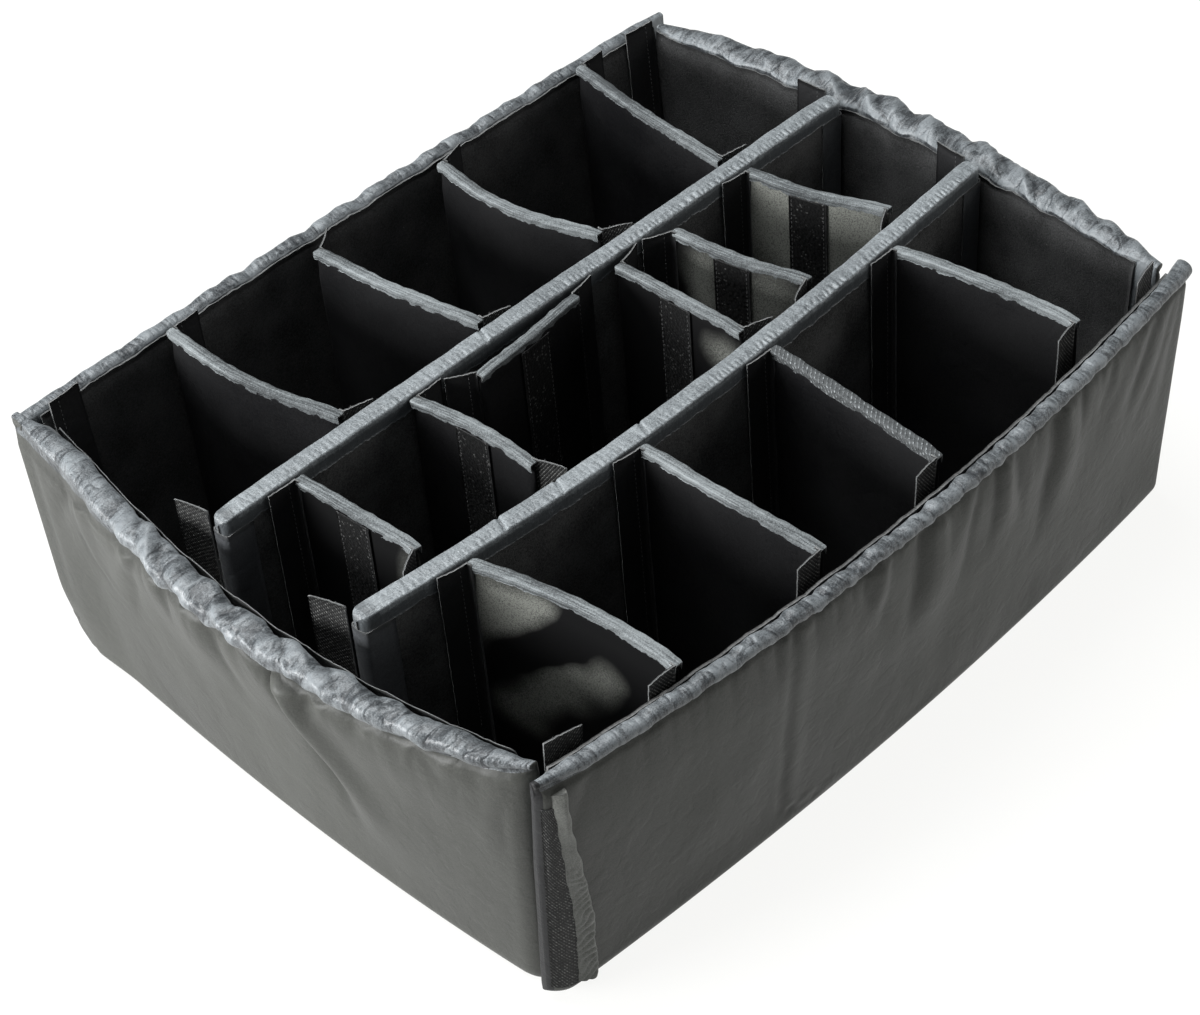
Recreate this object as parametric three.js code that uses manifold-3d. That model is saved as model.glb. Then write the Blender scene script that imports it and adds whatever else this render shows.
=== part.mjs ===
// A padded divider liner for the base of a protective hard case: four padded walls round a floor pad, two long
// dividers and fourteen short ones, all held to each other by hook flaps that fold and peel. Millimetres, +Z up.
// X runs along the long walls and Y from the near long wall to the far one. The liner stands on Z = 0 with the
// origin under the middle of its bounding box.
import * as THREE from "three";
import { mergeVertices } from "three/addons/utils/BufferGeometryUtils.js";
import Module from "manifold-3d";

const wasm = await Module();
wasm.setup();

// Driving sizes
const linerLength = 555; // between the outer faces of the end walls, at their corners
const linerWidth = 432; // between the outer faces of the long walls, at the floor
const wallHeight = 196;
const floorThickness = 8;
const floorGap = 0.8; // round the floor pad
const floorStations = 24;
const dividerHeight = 194.5;
const longDividerThickness = 12;
const shortDividerThickness = 7;
const clearance = 0.3; // between fabric faces that lie on each other
const peelClearance = 0.4; // between a hook flap and the face it lies on

// Sewn fabric
const coverThickness = 1;
const liningThickness = 1;
const coreClearance = 0.5;
const rimReturn = 22; // how far the nylon cover comes down the inner face
const hemReturn = 14; // how far it comes up the inner face from the bottom, and in from the ends
const cutOverrun = 3;

// Walls. The lean is how far the outer face lies outside its straight line at the ends, and the bulge is what is
// added to it at the middle: at the bottom, at the top of the cloth and at the rim, which hangs over the cloth. The
// pad is how far the cloth swells out where no fold draws it in.
const nearWallShape = {
  thickness: 13,
  rimThickness: 13.5,
  bottomLean: 4,
  topLean: 15,
  bottomBulge: 13,
  topBulge: 18,
  rimBulge: 23,
  pad: 3.5,
  rimWave: 1.5,
  rimRise: 0,
  flares: [0, 0],
};
const farWallShape = {
  thickness: 13,
  rimThickness: 13.5,
  bottomLean: 0,
  topLean: 9,
  bottomBulge: 2,
  topBulge: 0,
  rimBulge: 3,
  pad: 2,
  rimWave: 1.2,
  rimRise: 0,
  flares: [0, 0],
};
const longWallOverhang = 5; // past the outer face of the end wall at each end
const cornerGap = 2; // between an end wall's end and the long wall
const nearFlare = nearWallShape.topLean - nearWallShape.bottomLean;
const farFlare = farWallShape.topLean - farWallShape.bottomLean;
const leftWallShape = {
  thickness: 13,
  rimThickness: 23,
  bottomLean: 0,
  topLean: 0,
  bottomBulge: 8,
  topBulge: 22,
  rimBulge: 37,
  pad: 5,
  rimWave: 2.5,
  rimRise: 0,
  flares: [farFlare, nearFlare],
};
const rightWallShape = {
  thickness: 13,
  rimThickness: 26,
  bottomLean: 0,
  topLean: 0,
  bottomBulge: 6,
  topBulge: 12,
  rimBulge: 26,
  pad: 4,
  rimWave: 2.5,
  rimRise: 5,
  flares: [nearFlare, farFlare],
};
// How each wall's bulge leans to one end and how full it is, and where its rim is drawn in by the gathers, as
// shares of its length. Each fold runs from its head under the rim, where it is deepest, down to its foot. The
// padding is drawn in along it and pushed up beside it, on the side that its ridge names.
const nearWallForm = {
  skew: 1,
  fullness: 0.8,
  stations: 38,
  gatherShares: [0.12, 0.19, 0.27, 0.32, 0.38, 0.43, 0.51, 0.56, 0.62, 0.68, 0.74, 0.8, 0.85, 0.9, 0.95],
  foldShares: [
    { head: [0.055, 1], foot: [0.021, 0.6], depth: 0.6, ridge: -1 },
    { head: [0.291, 1], foot: [0.299, 0.7], depth: 0.4, ridge: 1 },
    { head: [0.419, 1], foot: [0.426, 0.7], depth: 0.5, ridge: 1 },
    { head: [0.516, 1], foot: [0.493, 0.45], depth: 0.9, ridge: 1 },
    { head: [0.6, 1], foot: [0.576, 0.45], depth: 0.5, ridge: -1 },
    { head: [0.659, 1], foot: [0.686, 0.5], depth: 0.5, ridge: -1 },
    { head: [0.738, 1], foot: [0.718, 0.3], depth: 1, ridge: 1 },
    { head: [0.929, 1], foot: [0.861, 0.4], depth: 0.7, ridge: -1 },
    { head: [0.985, 1], foot: [0.94, 0.3], depth: 0.8, ridge: -1 },
  ],
};
const farWallForm = {
  skew: 1,
  fullness: 1,
  stations: 26,
  gatherShares: [0.08, 0.18, 0.26, 0.37, 0.5, 0.59, 0.7, 0.8, 0.91],
  foldShares: [
    { head: [0.2, 1], foot: [0.22, 0.5], depth: 0.6, ridge: 1 },
    { head: [0.5, 1], foot: [0.47, 0.4], depth: 0.8, ridge: 1 },
    { head: [0.78, 1], foot: [0.8, 0.5], depth: 0.6, ridge: -1 },
  ],
};
const leftWallForm = {
  skew: 1.15,
  fullness: 0.8,
  stations: 36,
  gatherShares: [0.15, 0.235, 0.3, 0.35, 0.47, 0.57, 0.66, 0.74, 0.84, 0.925],
  foldShares: [
    { head: [0.11, 1], foot: [0.02, 0.55], depth: 0.8, ridge: 1 },
    { head: [0.292, 1], foot: [0.173, 0.33], depth: 0.45, ridge: -1 },
    { head: [0.457, 1], foot: [0.483, 0.45], depth: 0.6, ridge: -1 },
    { head: [0.563, 1.1], foot: [0.68, 0.25], depth: 1, ridge: 1 },
    { head: [0.655, 1.1], foot: [0.663, 0.7], depth: 0.5, ridge: 1 },
    { head: [0.84, 1], foot: [0.875, 0.75], depth: 0.5, ridge: 1 },
    { head: [0.973, 1], foot: [0.956, 0.4], depth: 0.5, ridge: -1 },
  ],
};
const rightWallForm = {
  skew: 1,
  fullness: 0.9,
  stations: 28,
  gatherShares: [0.1, 0.17, 0.26, 0.37, 0.46, 0.58, 0.69, 0.78, 0.9],
  foldShares: [
    { head: [0.2, 1], foot: [0.16, 0.4], depth: 0.6, ridge: 1 },
    { head: [0.47, 1], foot: [0.52, 0.3], depth: 0.9, ridge: -1 },
    { head: [0.75, 1], foot: [0.72, 0.5], depth: 0.6, ridge: 1 },
  ],
};
const foldWidth = 15; // from the middle of a fold to its side
const gatherWidth = 9;
const ridgeOffsetShare = 1.5; // of the fold's width
const ridgeHeightShare = 0.7; // of the fold's depth
const bellyShare = 1.7; // how far up the swell sits
const gatherDrawShare = 0.16; // of the rim's radius
const endCrowding = 0.5;
const skin = {
  outerShares: [0.03, 0.28, 0.5, 0.7, 0.86],
  rimShares: [-0.38, -0.1, 0.15, 0.4, 0.65, 0.9],
  innerShares: [0.9, 0.03],
  swollen: true,
};
const filling = {
  outerShares: [0.03, 0.86],
  rimShares: [-0.38, 0, 0.5, 0.9],
  innerShares: [0.9, 0.03],
  swollen: false,
};

// Dividers
const bindingThickness = 1;
const longBindingDepth = 12;
const shortBindingDepth = 9;
const bindingEndGap = 3; // short of the divider at each end
const longStartGaps = { floor: 12, top: 13 }; // from the liner's left end to a long divider
const longEndGaps = { floor: 10, top: 3 }; // from its right end
const farLongShare = 0.616; // of the liner's width, from the near wall's outer face
const nearLongShare = 0.345;
const nearLongBow = 17; // towards the near wall
const nearBowSkew = 0.87;
const longDividerStations = 14;
const shortDividerStations = 4;
const panelRoundFacets = 4;

// Hook tape: the flaps sewn to every end, and the strip up the face of each centre divider
const flapThickness = 1.6;
const flapWidth = 20;
const longFlapWidth = 24;
const cornerFlapWidth = 24;
const cornerFlapRise = 4; // over the wall's rim
const flapHem = 3; // short of the divider or wall at the bottom
const flapTopGap = 1.5; // short of its top
const flapTipShare = 0.5;
const rootFacets = 4;
const stripWidth = 26;
const stripThickness = 1.2;
const stripHem = 6;

// Short dividers: where each end stands along the liner's length, how far the panel bows as a share of its own
// thickness, how far its ends stop short of what they hook to at the floor and at the top as shares of a flap's
// width, and which way along X each flap is folded.
const farBayShares = [
  { far: 0.192, near: 0.218, bow: -1.2, farGaps: [0.07, 0.35], nearGaps: [0.3, 0.3], farFlap: 1, nearFlap: 1 },
  { far: 0.393, near: 0.424, bow: -0.5, farGaps: [0.6, 0.95], nearGaps: [0.25, 0.25], farFlap: 1, nearFlap: 1 },
  { far: 0.6, near: 0.622, bow: -1.7, farGaps: [0.3, 0.6], nearGaps: [0.5, 0.5], farFlap: 1, nearFlap: 1 },
  { far: 0.845, near: 0.812, bow: -0.4, farGaps: [0.07, 0.2], nearGaps: [0.2, 0.2], farFlap: 1, nearFlap: 1 },
];
const centreBayShares = [
  { far: 0.122, near: 0.131, bow: 0, farGaps: [0.07, 0.07], nearGaps: [0.62, 0.62], farFlap: -1, nearFlap: -1 },
  { far: 0.287, near: 0.297, bow: 0.5, farGaps: [0.07, 0.07], nearGaps: [0.95, 0.95], farFlap: 1, nearFlap: 1 },
  { far: 0.594, near: 0.595, bow: 0, farGaps: [0.3, 0.3], nearGaps: [0.4, 0.4], farFlap: 1, nearFlap: 1 },
  { far: 0.68, near: 0.711, bow: -0.7, farGaps: [0.45, 0.45], nearGaps: [0.35, 0.35], farFlap: -1, nearFlap: -1 },
  { far: 0.818, near: 0.865, bow: -0.9, farGaps: [0.12, 0.12], nearGaps: [0.45, 0.45], farFlap: -1, nearFlap: -1 },
];
const nearBayShares = [
  { far: 0.152, near: 0.184, bow: 0.9, farGaps: [0.1, 0.1], nearGaps: [0.1, 0.12], farFlap: -1, nearFlap: -1 },
  { far: 0.39, near: 0.395, bow: -0.2, farGaps: [0.1, 0.1], nearGaps: [0.12, 0.5], farFlap: -1, nearFlap: -1 },
  { far: 0.596, near: 0.575, bow: 0, farGaps: [0.1, 0.1], nearGaps: [0.12, 0.5], farFlap: -1, nearFlap: -1 },
  { far: 0.813, near: 0.838, bow: 0.4, farGaps: [0.1, 0.1], nearGaps: [0.12, 0.75], farFlap: -1, nearFlap: -1 },
];
// The one centre divider that is put away along the far long divider
const stowedShares = { start: 0.359, end: 0.525, bow: 0.3 };
const stowedStartGap = 13;
const stowedEndGap = 4;

// Colours and finishes
const nylon = { color: 0x4a4e4f, roughness: 0.5, metalness: 0 };
const binding = { color: 0x8d9193, roughness: 0.45, metalness: 0 };
const brushedLoop = { color: 0x141414, roughness: 0.95, metalness: 0 };
const panelCloth = { color: 0x1c1c1d, roughness: 0.6, metalness: 0 };
const hookTape = { color: 0x262523, roughness: 0.8, metalness: 0 };
const foam = { color: 0x2b2b2b, roughness: 0.9, metalness: 0 };
const finishes = {};
for (const [name, look] of Object.entries({ nylon, binding, brushedLoop, panelCloth, hookTape, foam })) {
  finishes[name] = new THREE.MeshStandardMaterial(look);
}

const mix = THREE.MathUtils.lerp;
const floorTop = floorThickness + clearance;
const dividerTop = floorTop + dividerHeight;
const flapLow = floorTop + flapHem;
const flapHigh = dividerTop - flapTopGap;
const flapInset = flapThickness / 2;

// Closed solids from sections

// Joins closed sections of equal point count into one body, and fills its two ends from their middles.
function loft(sections) {
  const count = sections[0].length;
  const positions = [];
  const index = [];
  for (const point of sections.flat()) positions.push(point.x, point.y, point.z);
  for (const end of [sections[0], sections[sections.length - 1]]) {
    const middle = new THREE.Vector3();
    for (const point of end) middle.addScaledVector(point, 1 / count);
    positions.push(middle.x, middle.y, middle.z);
  }
  const lastRow = (sections.length - 1) * count;
  const firstMiddle = sections.length * count;
  for (let j = 0; j < count; j++) {
    const next = (j + 1) % count;
    for (let row = 0; row < lastRow; row += count) {
      index.push(row + j, row + next, row + count + next, row + j, row + count + next, row + count + j);
    }
    index.push(firstMiddle, next, j, firstMiddle + 1, lastRow + j, lastRow + next);
  }
  const geometry = new THREE.BufferGeometry();
  geometry.setAttribute("position", new THREE.Float32BufferAttribute(positions, 3));
  geometry.setIndex(index);
  return facingOut(geometry);
}

// Turns every face round if the body is inside out.
function facingOut(geometry) {
  const p = geometry.getAttribute("position");
  const order = geometry.index.array;
  const [a, b, c] = [new THREE.Vector3(), new THREE.Vector3(), new THREE.Vector3()];
  let volume = 0;
  for (let i = 0; i < order.length; i += 3) {
    a.fromBufferAttribute(p, order[i]);
    b.fromBufferAttribute(p, order[i + 1]);
    c.fromBufferAttribute(p, order[i + 2]);
    volume += a.dot(b.cross(c));
  }
  if (volume < 0) {
    for (let i = 0; i < order.length; i += 3) [order[i], order[i + 1]] = [order[i + 1], order[i]];
  }
  return geometry;
}

function toSolid(geometry) {
  const bare = geometry.clone();
  bare.deleteAttribute("normal");
  bare.deleteAttribute("uv");
  const merged = mergeVertices(bare);
  return new wasm.Manifold(
    new wasm.Mesh({
      numProp: 3,
      vertProperties: merged.getAttribute("position").array,
      triVerts: new Uint32Array(merged.index.array),
    }),
  );
}

function toGeometry(solid) {
  const mesh = solid.getMesh();
  const geometry = new THREE.BufferGeometry();
  geometry.setAttribute("position", new THREE.BufferAttribute(mesh.vertProperties.slice(), 3));
  geometry.setIndex(new THREE.BufferAttribute(mesh.triVerts.slice(), 1));
  geometry.computeVertexNormals();
  return geometry;
}

function named(name, geometry, finish) {
  const mesh = new THREE.Mesh(geometry, finishes[finish]);
  mesh.name = name;
  return mesh;
}

// Padded walls. A wall is built as the near long wall is: its length along X from 0, outwards along -Y.

// A wall runs straight from one of its stations to the next, and they stand closer together towards its ends.
function stationShare(wall, i) {
  const even = i / wall.form.stations;
  return mix(even, (1 - Math.cos(Math.PI * even)) / 2, endCrowding);
}

function betweenStations(wall, u, curve) {
  let i = 1;
  while (i < wall.form.stations && stationShare(wall, i) < u) i++;
  const [lower, upper] = [stationShare(wall, i - 1), stationShare(wall, i)];
  return mix(curve(lower), curve(upper), (u - lower) / (upper - lower));
}

function bulgeAt(wall, u) {
  return betweenStations(wall, u, (share) => Math.abs(Math.sin(Math.PI * share ** wall.form.skew)) ** wall.form.fullness);
}

// How far the wall's outer face lies outside its straight line, at a share u of its length and a height z.
function outerOffset(wall, u, z) {
  const bulge = bulgeAt(wall, u);
  const bottom = wall.shape.bottomLean + wall.shape.bottomBulge * bulge;
  const top = wall.shape.topLean + wall.shape.topBulge * bulge;
  return mix(bottom, top, z / wallHeight);
}

function rimOffset(wall, u) {
  return wall.shape.topLean + wall.shape.rimBulge * bulgeAt(wall, u);
}

// The padding is full between a wall's ends and drawn flat at them.
const fullAt = (share) => Math.sqrt(Math.abs(Math.sin(Math.PI * share)));

// The rim is no thicker than the wall at the two ends, and puffs out between them.
function rimThicknessAt(wall, u) {
  return mix(wall.shape.thickness, wall.shape.rimThickness, betweenStations(wall, u, fullAt));
}

function innerOffset(wall, u, z) {
  const bottom = outerOffset(wall, u, 0) - wall.shape.thickness;
  const top = rimOffset(wall, u) - rimThicknessAt(wall, u);
  return mix(bottom, top, z / wallHeight);
}

// A soft ridge of height 1 at no distance from its middle.
const ridgeAt = (distance, width) => Math.exp(-((distance / width) ** 2));

// What one fold adds to the padding at a share u of the wall's length and a share v of its height.
function foldAt(wall, fold, u, v) {
  const [headU, headV] = fold.head;
  const [footU, footV] = fold.foot;
  const up = THREE.MathUtils.clamp((v - footV) / (headV - footV), 0, 1);
  const distance = (u - mix(footU, headU, up)) * wall.length;
  const valley = ridgeAt(distance, foldWidth);
  const ridge = ridgeAt(distance - fold.ridge * ridgeOffsetShare * foldWidth, foldWidth);
  return fold.depth * Math.sqrt(up) * (ridgeHeightShare * ridge - valley);
}

// The padding swells between the hem, the rim and the ends, and the folds run through it.
function swell(wall, u, z) {
  const v = z / wallHeight;
  const padding = (share) => {
    let fullness = 1;
    for (const fold of wall.form.foldShares) fullness += foldAt(wall, fold, share, v);
    return fullAt(share) * Math.max(fullness, 0);
  };
  return wall.shape.pad * Math.sin(Math.PI * v ** bellyShare) * betweenStations(wall, u, padding);
}

// How far the gathers draw the rim in, from 0 to about 1.
function gatherAt(wall, u) {
  const drawn = (share) => {
    let sum = 0;
    for (const gather of wall.form.gatherShares) sum += ridgeAt((share - gather) * wall.length, gatherWidth);
    return sum * fullAt(share);
  };
  return betweenStations(wall, u, drawn);
}

function rimLift(wall, u) {
  const wave = wall.shape.rimWave * (betweenStations(wall, u, fullAt) - 2 * gatherAt(wall, u));
  return wave + wall.shape.rimRise * betweenStations(wall, u, fullAt);
}

// The wall is longer at the top where the walls beside it lean out.
function stationAt(wall, s, z) {
  const u = s / wall.length;
  const [startFlare, endFlare] = wall.shape.flares;
  return s + (z / wallHeight) * (endFlare * u - startFlare * (1 - u));
}

// One upright section of a wall, drawn in by inset all round. The surface says where its points are.
function wallSection(wall, s, inset, surface) {
  const u = THREE.MathUtils.clamp(s / wall.length, 0, 1);
  const outline = [];
  for (const share of surface.outerShares) {
    const z = share * wallHeight;
    const swelling = surface.swollen ? swell(wall, u, z) : 0;
    outline.push([outerOffset(wall, u, z) + swelling - inset, z]);
  }
  const rimRadius = rimThicknessAt(wall, u) / 2;
  const rimMiddle = rimOffset(wall, u) - rimRadius;
  const shoulder = wallHeight - rimRadius + rimLift(wall, u);
  const drawnRadius = rimRadius * (1 - gatherDrawShare * gatherAt(wall, u));
  for (const share of surface.rimShares) {
    const turn = Math.PI * share;
    const radius = mix(drawnRadius, rimRadius, THREE.MathUtils.clamp(2 * share, 0, 1)) - inset;
    outline.push([rimMiddle + radius * Math.cos(turn), shoulder + radius * Math.sin(turn)]);
  }
  for (const share of surface.innerShares) {
    const z = share * wallHeight;
    outline.push([innerOffset(wall, u, z) + inset, z]);
  }
  const hemBevel = wall.shape.thickness / 4;
  outline.push([innerOffset(wall, u, 0) + hemBevel, inset]);
  outline.push([outerOffset(wall, u, 0) - hemBevel, inset]);
  return outline.map(([o, z]) => new THREE.Vector3(stationAt(wall, s, z), -o, z));
}

function stationsBetween(wall, endInset) {
  const stations = [endInset];
  for (let i = 1; i < wall.form.stations; i++) {
    const s = wall.length * stationShare(wall, i);
    if (s > endInset && s < wall.length - endInset) stations.push(s);
  }
  stations.push(wall.length - endInset);
  return stations;
}

function wallLoft(wall, inset, surface) {
  return toSolid(loft(stationsBetween(wall, inset).map((s) => wallSection(wall, s, inset, surface))));
}

// A sheet between two depths behind the inner face, with an edge all round it.
function innerSheet(wall, edge, front, back) {
  const low = hemReturn + edge;
  const high = wallHeight - rimReturn - edge;
  const corners = [[front, low], [front, high], [back, high], [back, low]];
  const sections = stationsBetween(wall, hemReturn + edge).map((s) =>
    corners.map(([depth, z]) => {
      const offset = innerOffset(wall, s / wall.length, z) + depth;
      return new THREE.Vector3(stationAt(wall, s, z), -offset, z);
    }),
  );
  return toSolid(loft(sections));
}

// The nylon cover is one skin round the foam, open on the inner face where the loop lining shows.
function wallCover(wall) {
  const window = innerSheet(wall, 0, -cutOverrun, coverThickness + cutOverrun);
  const hollow = wallLoft(wall, coverThickness, filling);
  return toGeometry(wallLoft(wall, 0, skin).subtract(hollow).subtract(window));
}

function wallCore(wall) {
  return toGeometry(wallLoft(wall, coverThickness + coreClearance, filling));
}

function wallLining(wall) {
  return toGeometry(innerSheet(wall, clearance, 0, liningThickness));
}

// Where each wall stands: its straight outer line, its start and its turn about Z.
const longWallLength = linerLength + 2 * longWallOverhang;
const nearInnerY = nearWallShape.thickness - nearWallShape.bottomLean;
const farInnerY = linerWidth + farWallShape.bottomLean - farWallShape.thickness;
const endWallStart = nearInnerY + cornerGap;
const endWallEnd = farInnerY - cornerGap;
const nearWall = {
  name: "near_long_wall",
  shape: nearWallShape,
  form: nearWallForm,
  length: longWallLength,
  at: [-longWallOverhang, 0],
  turn: 0,
};
const rightWall = {
  name: "right_end_wall",
  shape: rightWallShape,
  form: rightWallForm,
  length: endWallEnd - endWallStart,
  at: [linerLength, endWallStart],
  turn: Math.PI / 2,
};
const farWall = {
  name: "far_long_wall",
  shape: farWallShape,
  form: farWallForm,
  length: longWallLength,
  at: [linerLength + longWallOverhang, linerWidth],
  turn: Math.PI,
};
const leftWall = {
  name: "left_end_wall",
  shape: leftWallShape,
  form: leftWallForm,
  length: endWallEnd - endWallStart,
  at: [0, endWallEnd],
  turn: -Math.PI / 2,
};

function placedWall(wall) {
  const group = new THREE.Group();
  group.add(named(`${wall.name}_cover`, wallCover(wall), "nylon"));
  group.add(named(`${wall.name}_foam`, wallCore(wall), "foam"));
  group.add(named(`${wall.name}_lining`, wallLining(wall), "brushedLoop"));
  group.position.set(...wall.at, 0);
  group.rotation.z = wall.turn;
  return group;
}

// The inner faces of the walls in plan, at a height.
const within = (s, wall) => THREE.MathUtils.clamp(s / wall.length, 0, 1);
const nearWallFace = (x, z) => -innerOffset(nearWall, within(x + longWallOverhang, nearWall), z);
const farWallFace = (x, z) =>
  linerWidth + innerOffset(farWall, within(linerLength + longWallOverhang - x, farWall), z);
const leftWallFace = (y, z) => -innerOffset(leftWall, within(endWallEnd - y, leftWall), z);
const rightWallFace = (y, z) => linerLength + innerOffset(rightWall, within(y - endWallStart, rightWall), z);

// The floor pad fills the floor between the walls and follows their curves.
function floorPad() {
  const outline = [];
  const low = nearInnerY + floorGap;
  const startX = (y) => leftWallFace(y, 0) + floorGap;
  const endX = (y) => rightWallFace(y, 0) - floorGap;
  const steps = floorStations;
  const nearY = (x) => nearWallFace(x, 0) + floorGap;
  const farY = (x) => farWallFace(x, 0) - floorGap;
  const spanY = (i) => mix(low, farInnerY - floorGap, i / steps);
  const spanX = (i) => mix(startX(nearInnerY), endX(nearInnerY), i / steps);
  for (let i = 0; i <= steps; i++) outline.push([spanX(i), nearY(spanX(i))]);
  for (let i = 1; i < steps; i++) outline.push([endX(spanY(i)), spanY(i)]);
  for (let i = steps; i >= 0; i--) outline.push([spanX(i), farY(spanX(i))]);
  for (let i = steps - 1; i > 0; i--) outline.push([startX(spanY(i)), spanY(i)]);
  const shape = new THREE.Shape(outline.map(([x, y]) => new THREE.Vector2(x, y)));
  return new THREE.ExtrudeGeometry(shape, { depth: floorThickness, bevelEnabled: false });
}

// Padded dividers. The middle line of a panel is given by place, as the point at a share of its length, a
// distance to one side and a height.

function panelSection(place, w, half, low, high) {
  const outline = [[-half, low], [half, low]];
  for (let i = 0; i <= panelRoundFacets; i++) {
    const turn = (Math.PI * i) / panelRoundFacets;
    outline.push([half * Math.cos(turn), high - half + half * Math.sin(turn)]);
  }
  return outline.map(([o, z]) => place(w, o, z));
}

function panelSolid(place, half, low, high, startShare, stations) {
  const sections = [];
  for (let i = 0; i <= stations; i++) {
    const w = mix(startShare, 1 - startShare, i / stations);
    sections.push(panelSection(place, w, half, low, high));
  }
  return toSolid(loft(sections));
}

// A channel of nylon folded over a panel's top edge.
function bindingSolid(place, thickness, depth, length, stations) {
  const inner = thickness / 2 + clearance;
  const outer = inner + bindingThickness;
  const low = dividerTop - depth;
  const endShare = bindingEndGap / length;
  const channel = panelSolid(place, outer, low, dividerTop, endShare, stations);
  return channel.subtract(
    panelSolid(place, inner, low - cutOverrun, dividerTop - bindingThickness, endShare / 2, stations),
  );
}

function divider(name, place, thickness, depth, length, stations, flaps, cloth) {
  const group = new THREE.Group();
  const panelTop = dividerTop - bindingThickness - clearance;
  let panel = panelSolid(place, thickness / 2, floorTop, panelTop, 0, stations);
  for (const flap of flaps) panel = panel.add(flap);
  group.add(named(name, toGeometry(panel), cloth));
  const top = bindingSolid(place, thickness, depth, length, stations);
  group.add(named(`${name}_binding`, toGeometry(top), "binding"));
  return group;
}

// A strip of hook tape sewn up the middle of a panel's face, on the side that side names.
function faceStrip(name, place, length, side) {
  const face = shortDividerThickness / 2 + clearance;
  const low = floorTop + stripHem;
  const high = dividerTop - shortBindingDepth - clearance;
  const reach = stripWidth / length / 2;
  const near = side * face;
  const out = side * (face + stripThickness);
  const outline = [[near, low], [out, low], [out, high], [near, high]];
  const sections = [0.5 - reach, 0.5, 0.5 + reach].map((w) => outline.map(([o, z]) => place(w, o, z)));
  return named(name, loft(sections), "hookTape");
}

// Hook flaps. A flap stands on a line, runs out from it and is folded by turning about that line, so its root
// is round.

function flapGeometry(width, height) {
  const outline = new THREE.Shape();
  outline.moveTo(width, -flapInset * flapTipShare);
  outline.lineTo(width, flapInset * flapTipShare);
  outline.lineTo(width - flapInset, flapInset);
  outline.lineTo(0, flapInset);
  outline.absarc(0, 0, flapInset, Math.PI / 2, (3 * Math.PI) / 2, false);
  outline.lineTo(width - flapInset, -flapInset);
  return new THREE.ExtrudeGeometry(outline, { depth: height, bevelEnabled: false, curveSegments: rootFacets });
}

// The fold at which a flap's tip comes down on the face it hooks to: pointAt turns a reach along the flap, a fold
// and a share of its height into a point, and gapTo says how far that point is from the face.
const foldSteps = 64;
const seatSteps = 16;
const widestFold = Math.PI * 0.44;
const tightestFold = -Math.PI * 0.06;
const reachSampleShares = [0.3, 0.55, 0.8, 1];
const heightSampleShares = [0, 0.35, 0.7, 1];
function seatedFold(width, pointAt, gapTo) {
  const skin = flapInset + peelClearance;
  const foldAt = (share) => mix(widestFold, tightestFold, share);
  const clearAt = (share) =>
    heightSampleShares.every((v) =>
      reachSampleShares.every((reach) => gapTo(pointAt(reach * width, foldAt(share), v)) >= skin),
    );
  let touching = 0;
  while (touching < 1 && !clearAt(touching + 1 / foldSteps)) touching += 1 / foldSteps;
  let clear = Math.min(touching + 1 / foldSteps, 1);
  for (let i = 0; i < seatSteps; i++) {
    const between = (touching + clear) / 2;
    if (clearAt(between)) clear = between;
    else touching = between;
  }
  return foldAt(clear);
}

// Stands a flap on the line between two points. Across the flap's own line it faces along side, on the axis that
// facing names, and it is folded towards along on the other axis.
function standingFlap(width, low, high, facing, side, along, gapTo) {
  const other = facing === "y" ? "x" : "y";
  const pointAt = (reach, fold, v) => {
    const point = new THREE.Vector3().lerpVectors(low, high, v);
    point[facing] += side * reach * Math.sin(fold);
    point[other] += along * reach * Math.cos(fold);
    return point;
  };
  const fold = seatedFold(width, pointAt, gapTo);
  const run = new THREE.Vector3();
  run[facing] = side * Math.sin(fold);
  run[other] = along * Math.cos(fold);
  const hinge = new THREE.Group();
  hinge.position.copy(low);
  if (facing === "y") hinge.rotation.x = -Math.atan2(high.y - low.y, high.z - low.z);
  else hinge.rotation.y = Math.atan2(high.x - low.x, high.z - low.z);
  const mesh = new THREE.Mesh(flapGeometry(width, low.distanceTo(high)), finishes.hookTape);
  mesh.rotation.z = Math.atan2(run.y, run.x);
  hinge.add(mesh);
  return hinge;
}

function flapSolid(hinge) {
  hinge.updateMatrixWorld(true);
  const mesh = hinge.children[0];
  return toSolid(mesh.geometry).transform(mesh.matrixWorld.toArray());
}

function namedFlap(name, hinge) {
  hinge.children[0].name = name;
  return hinge;
}

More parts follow.
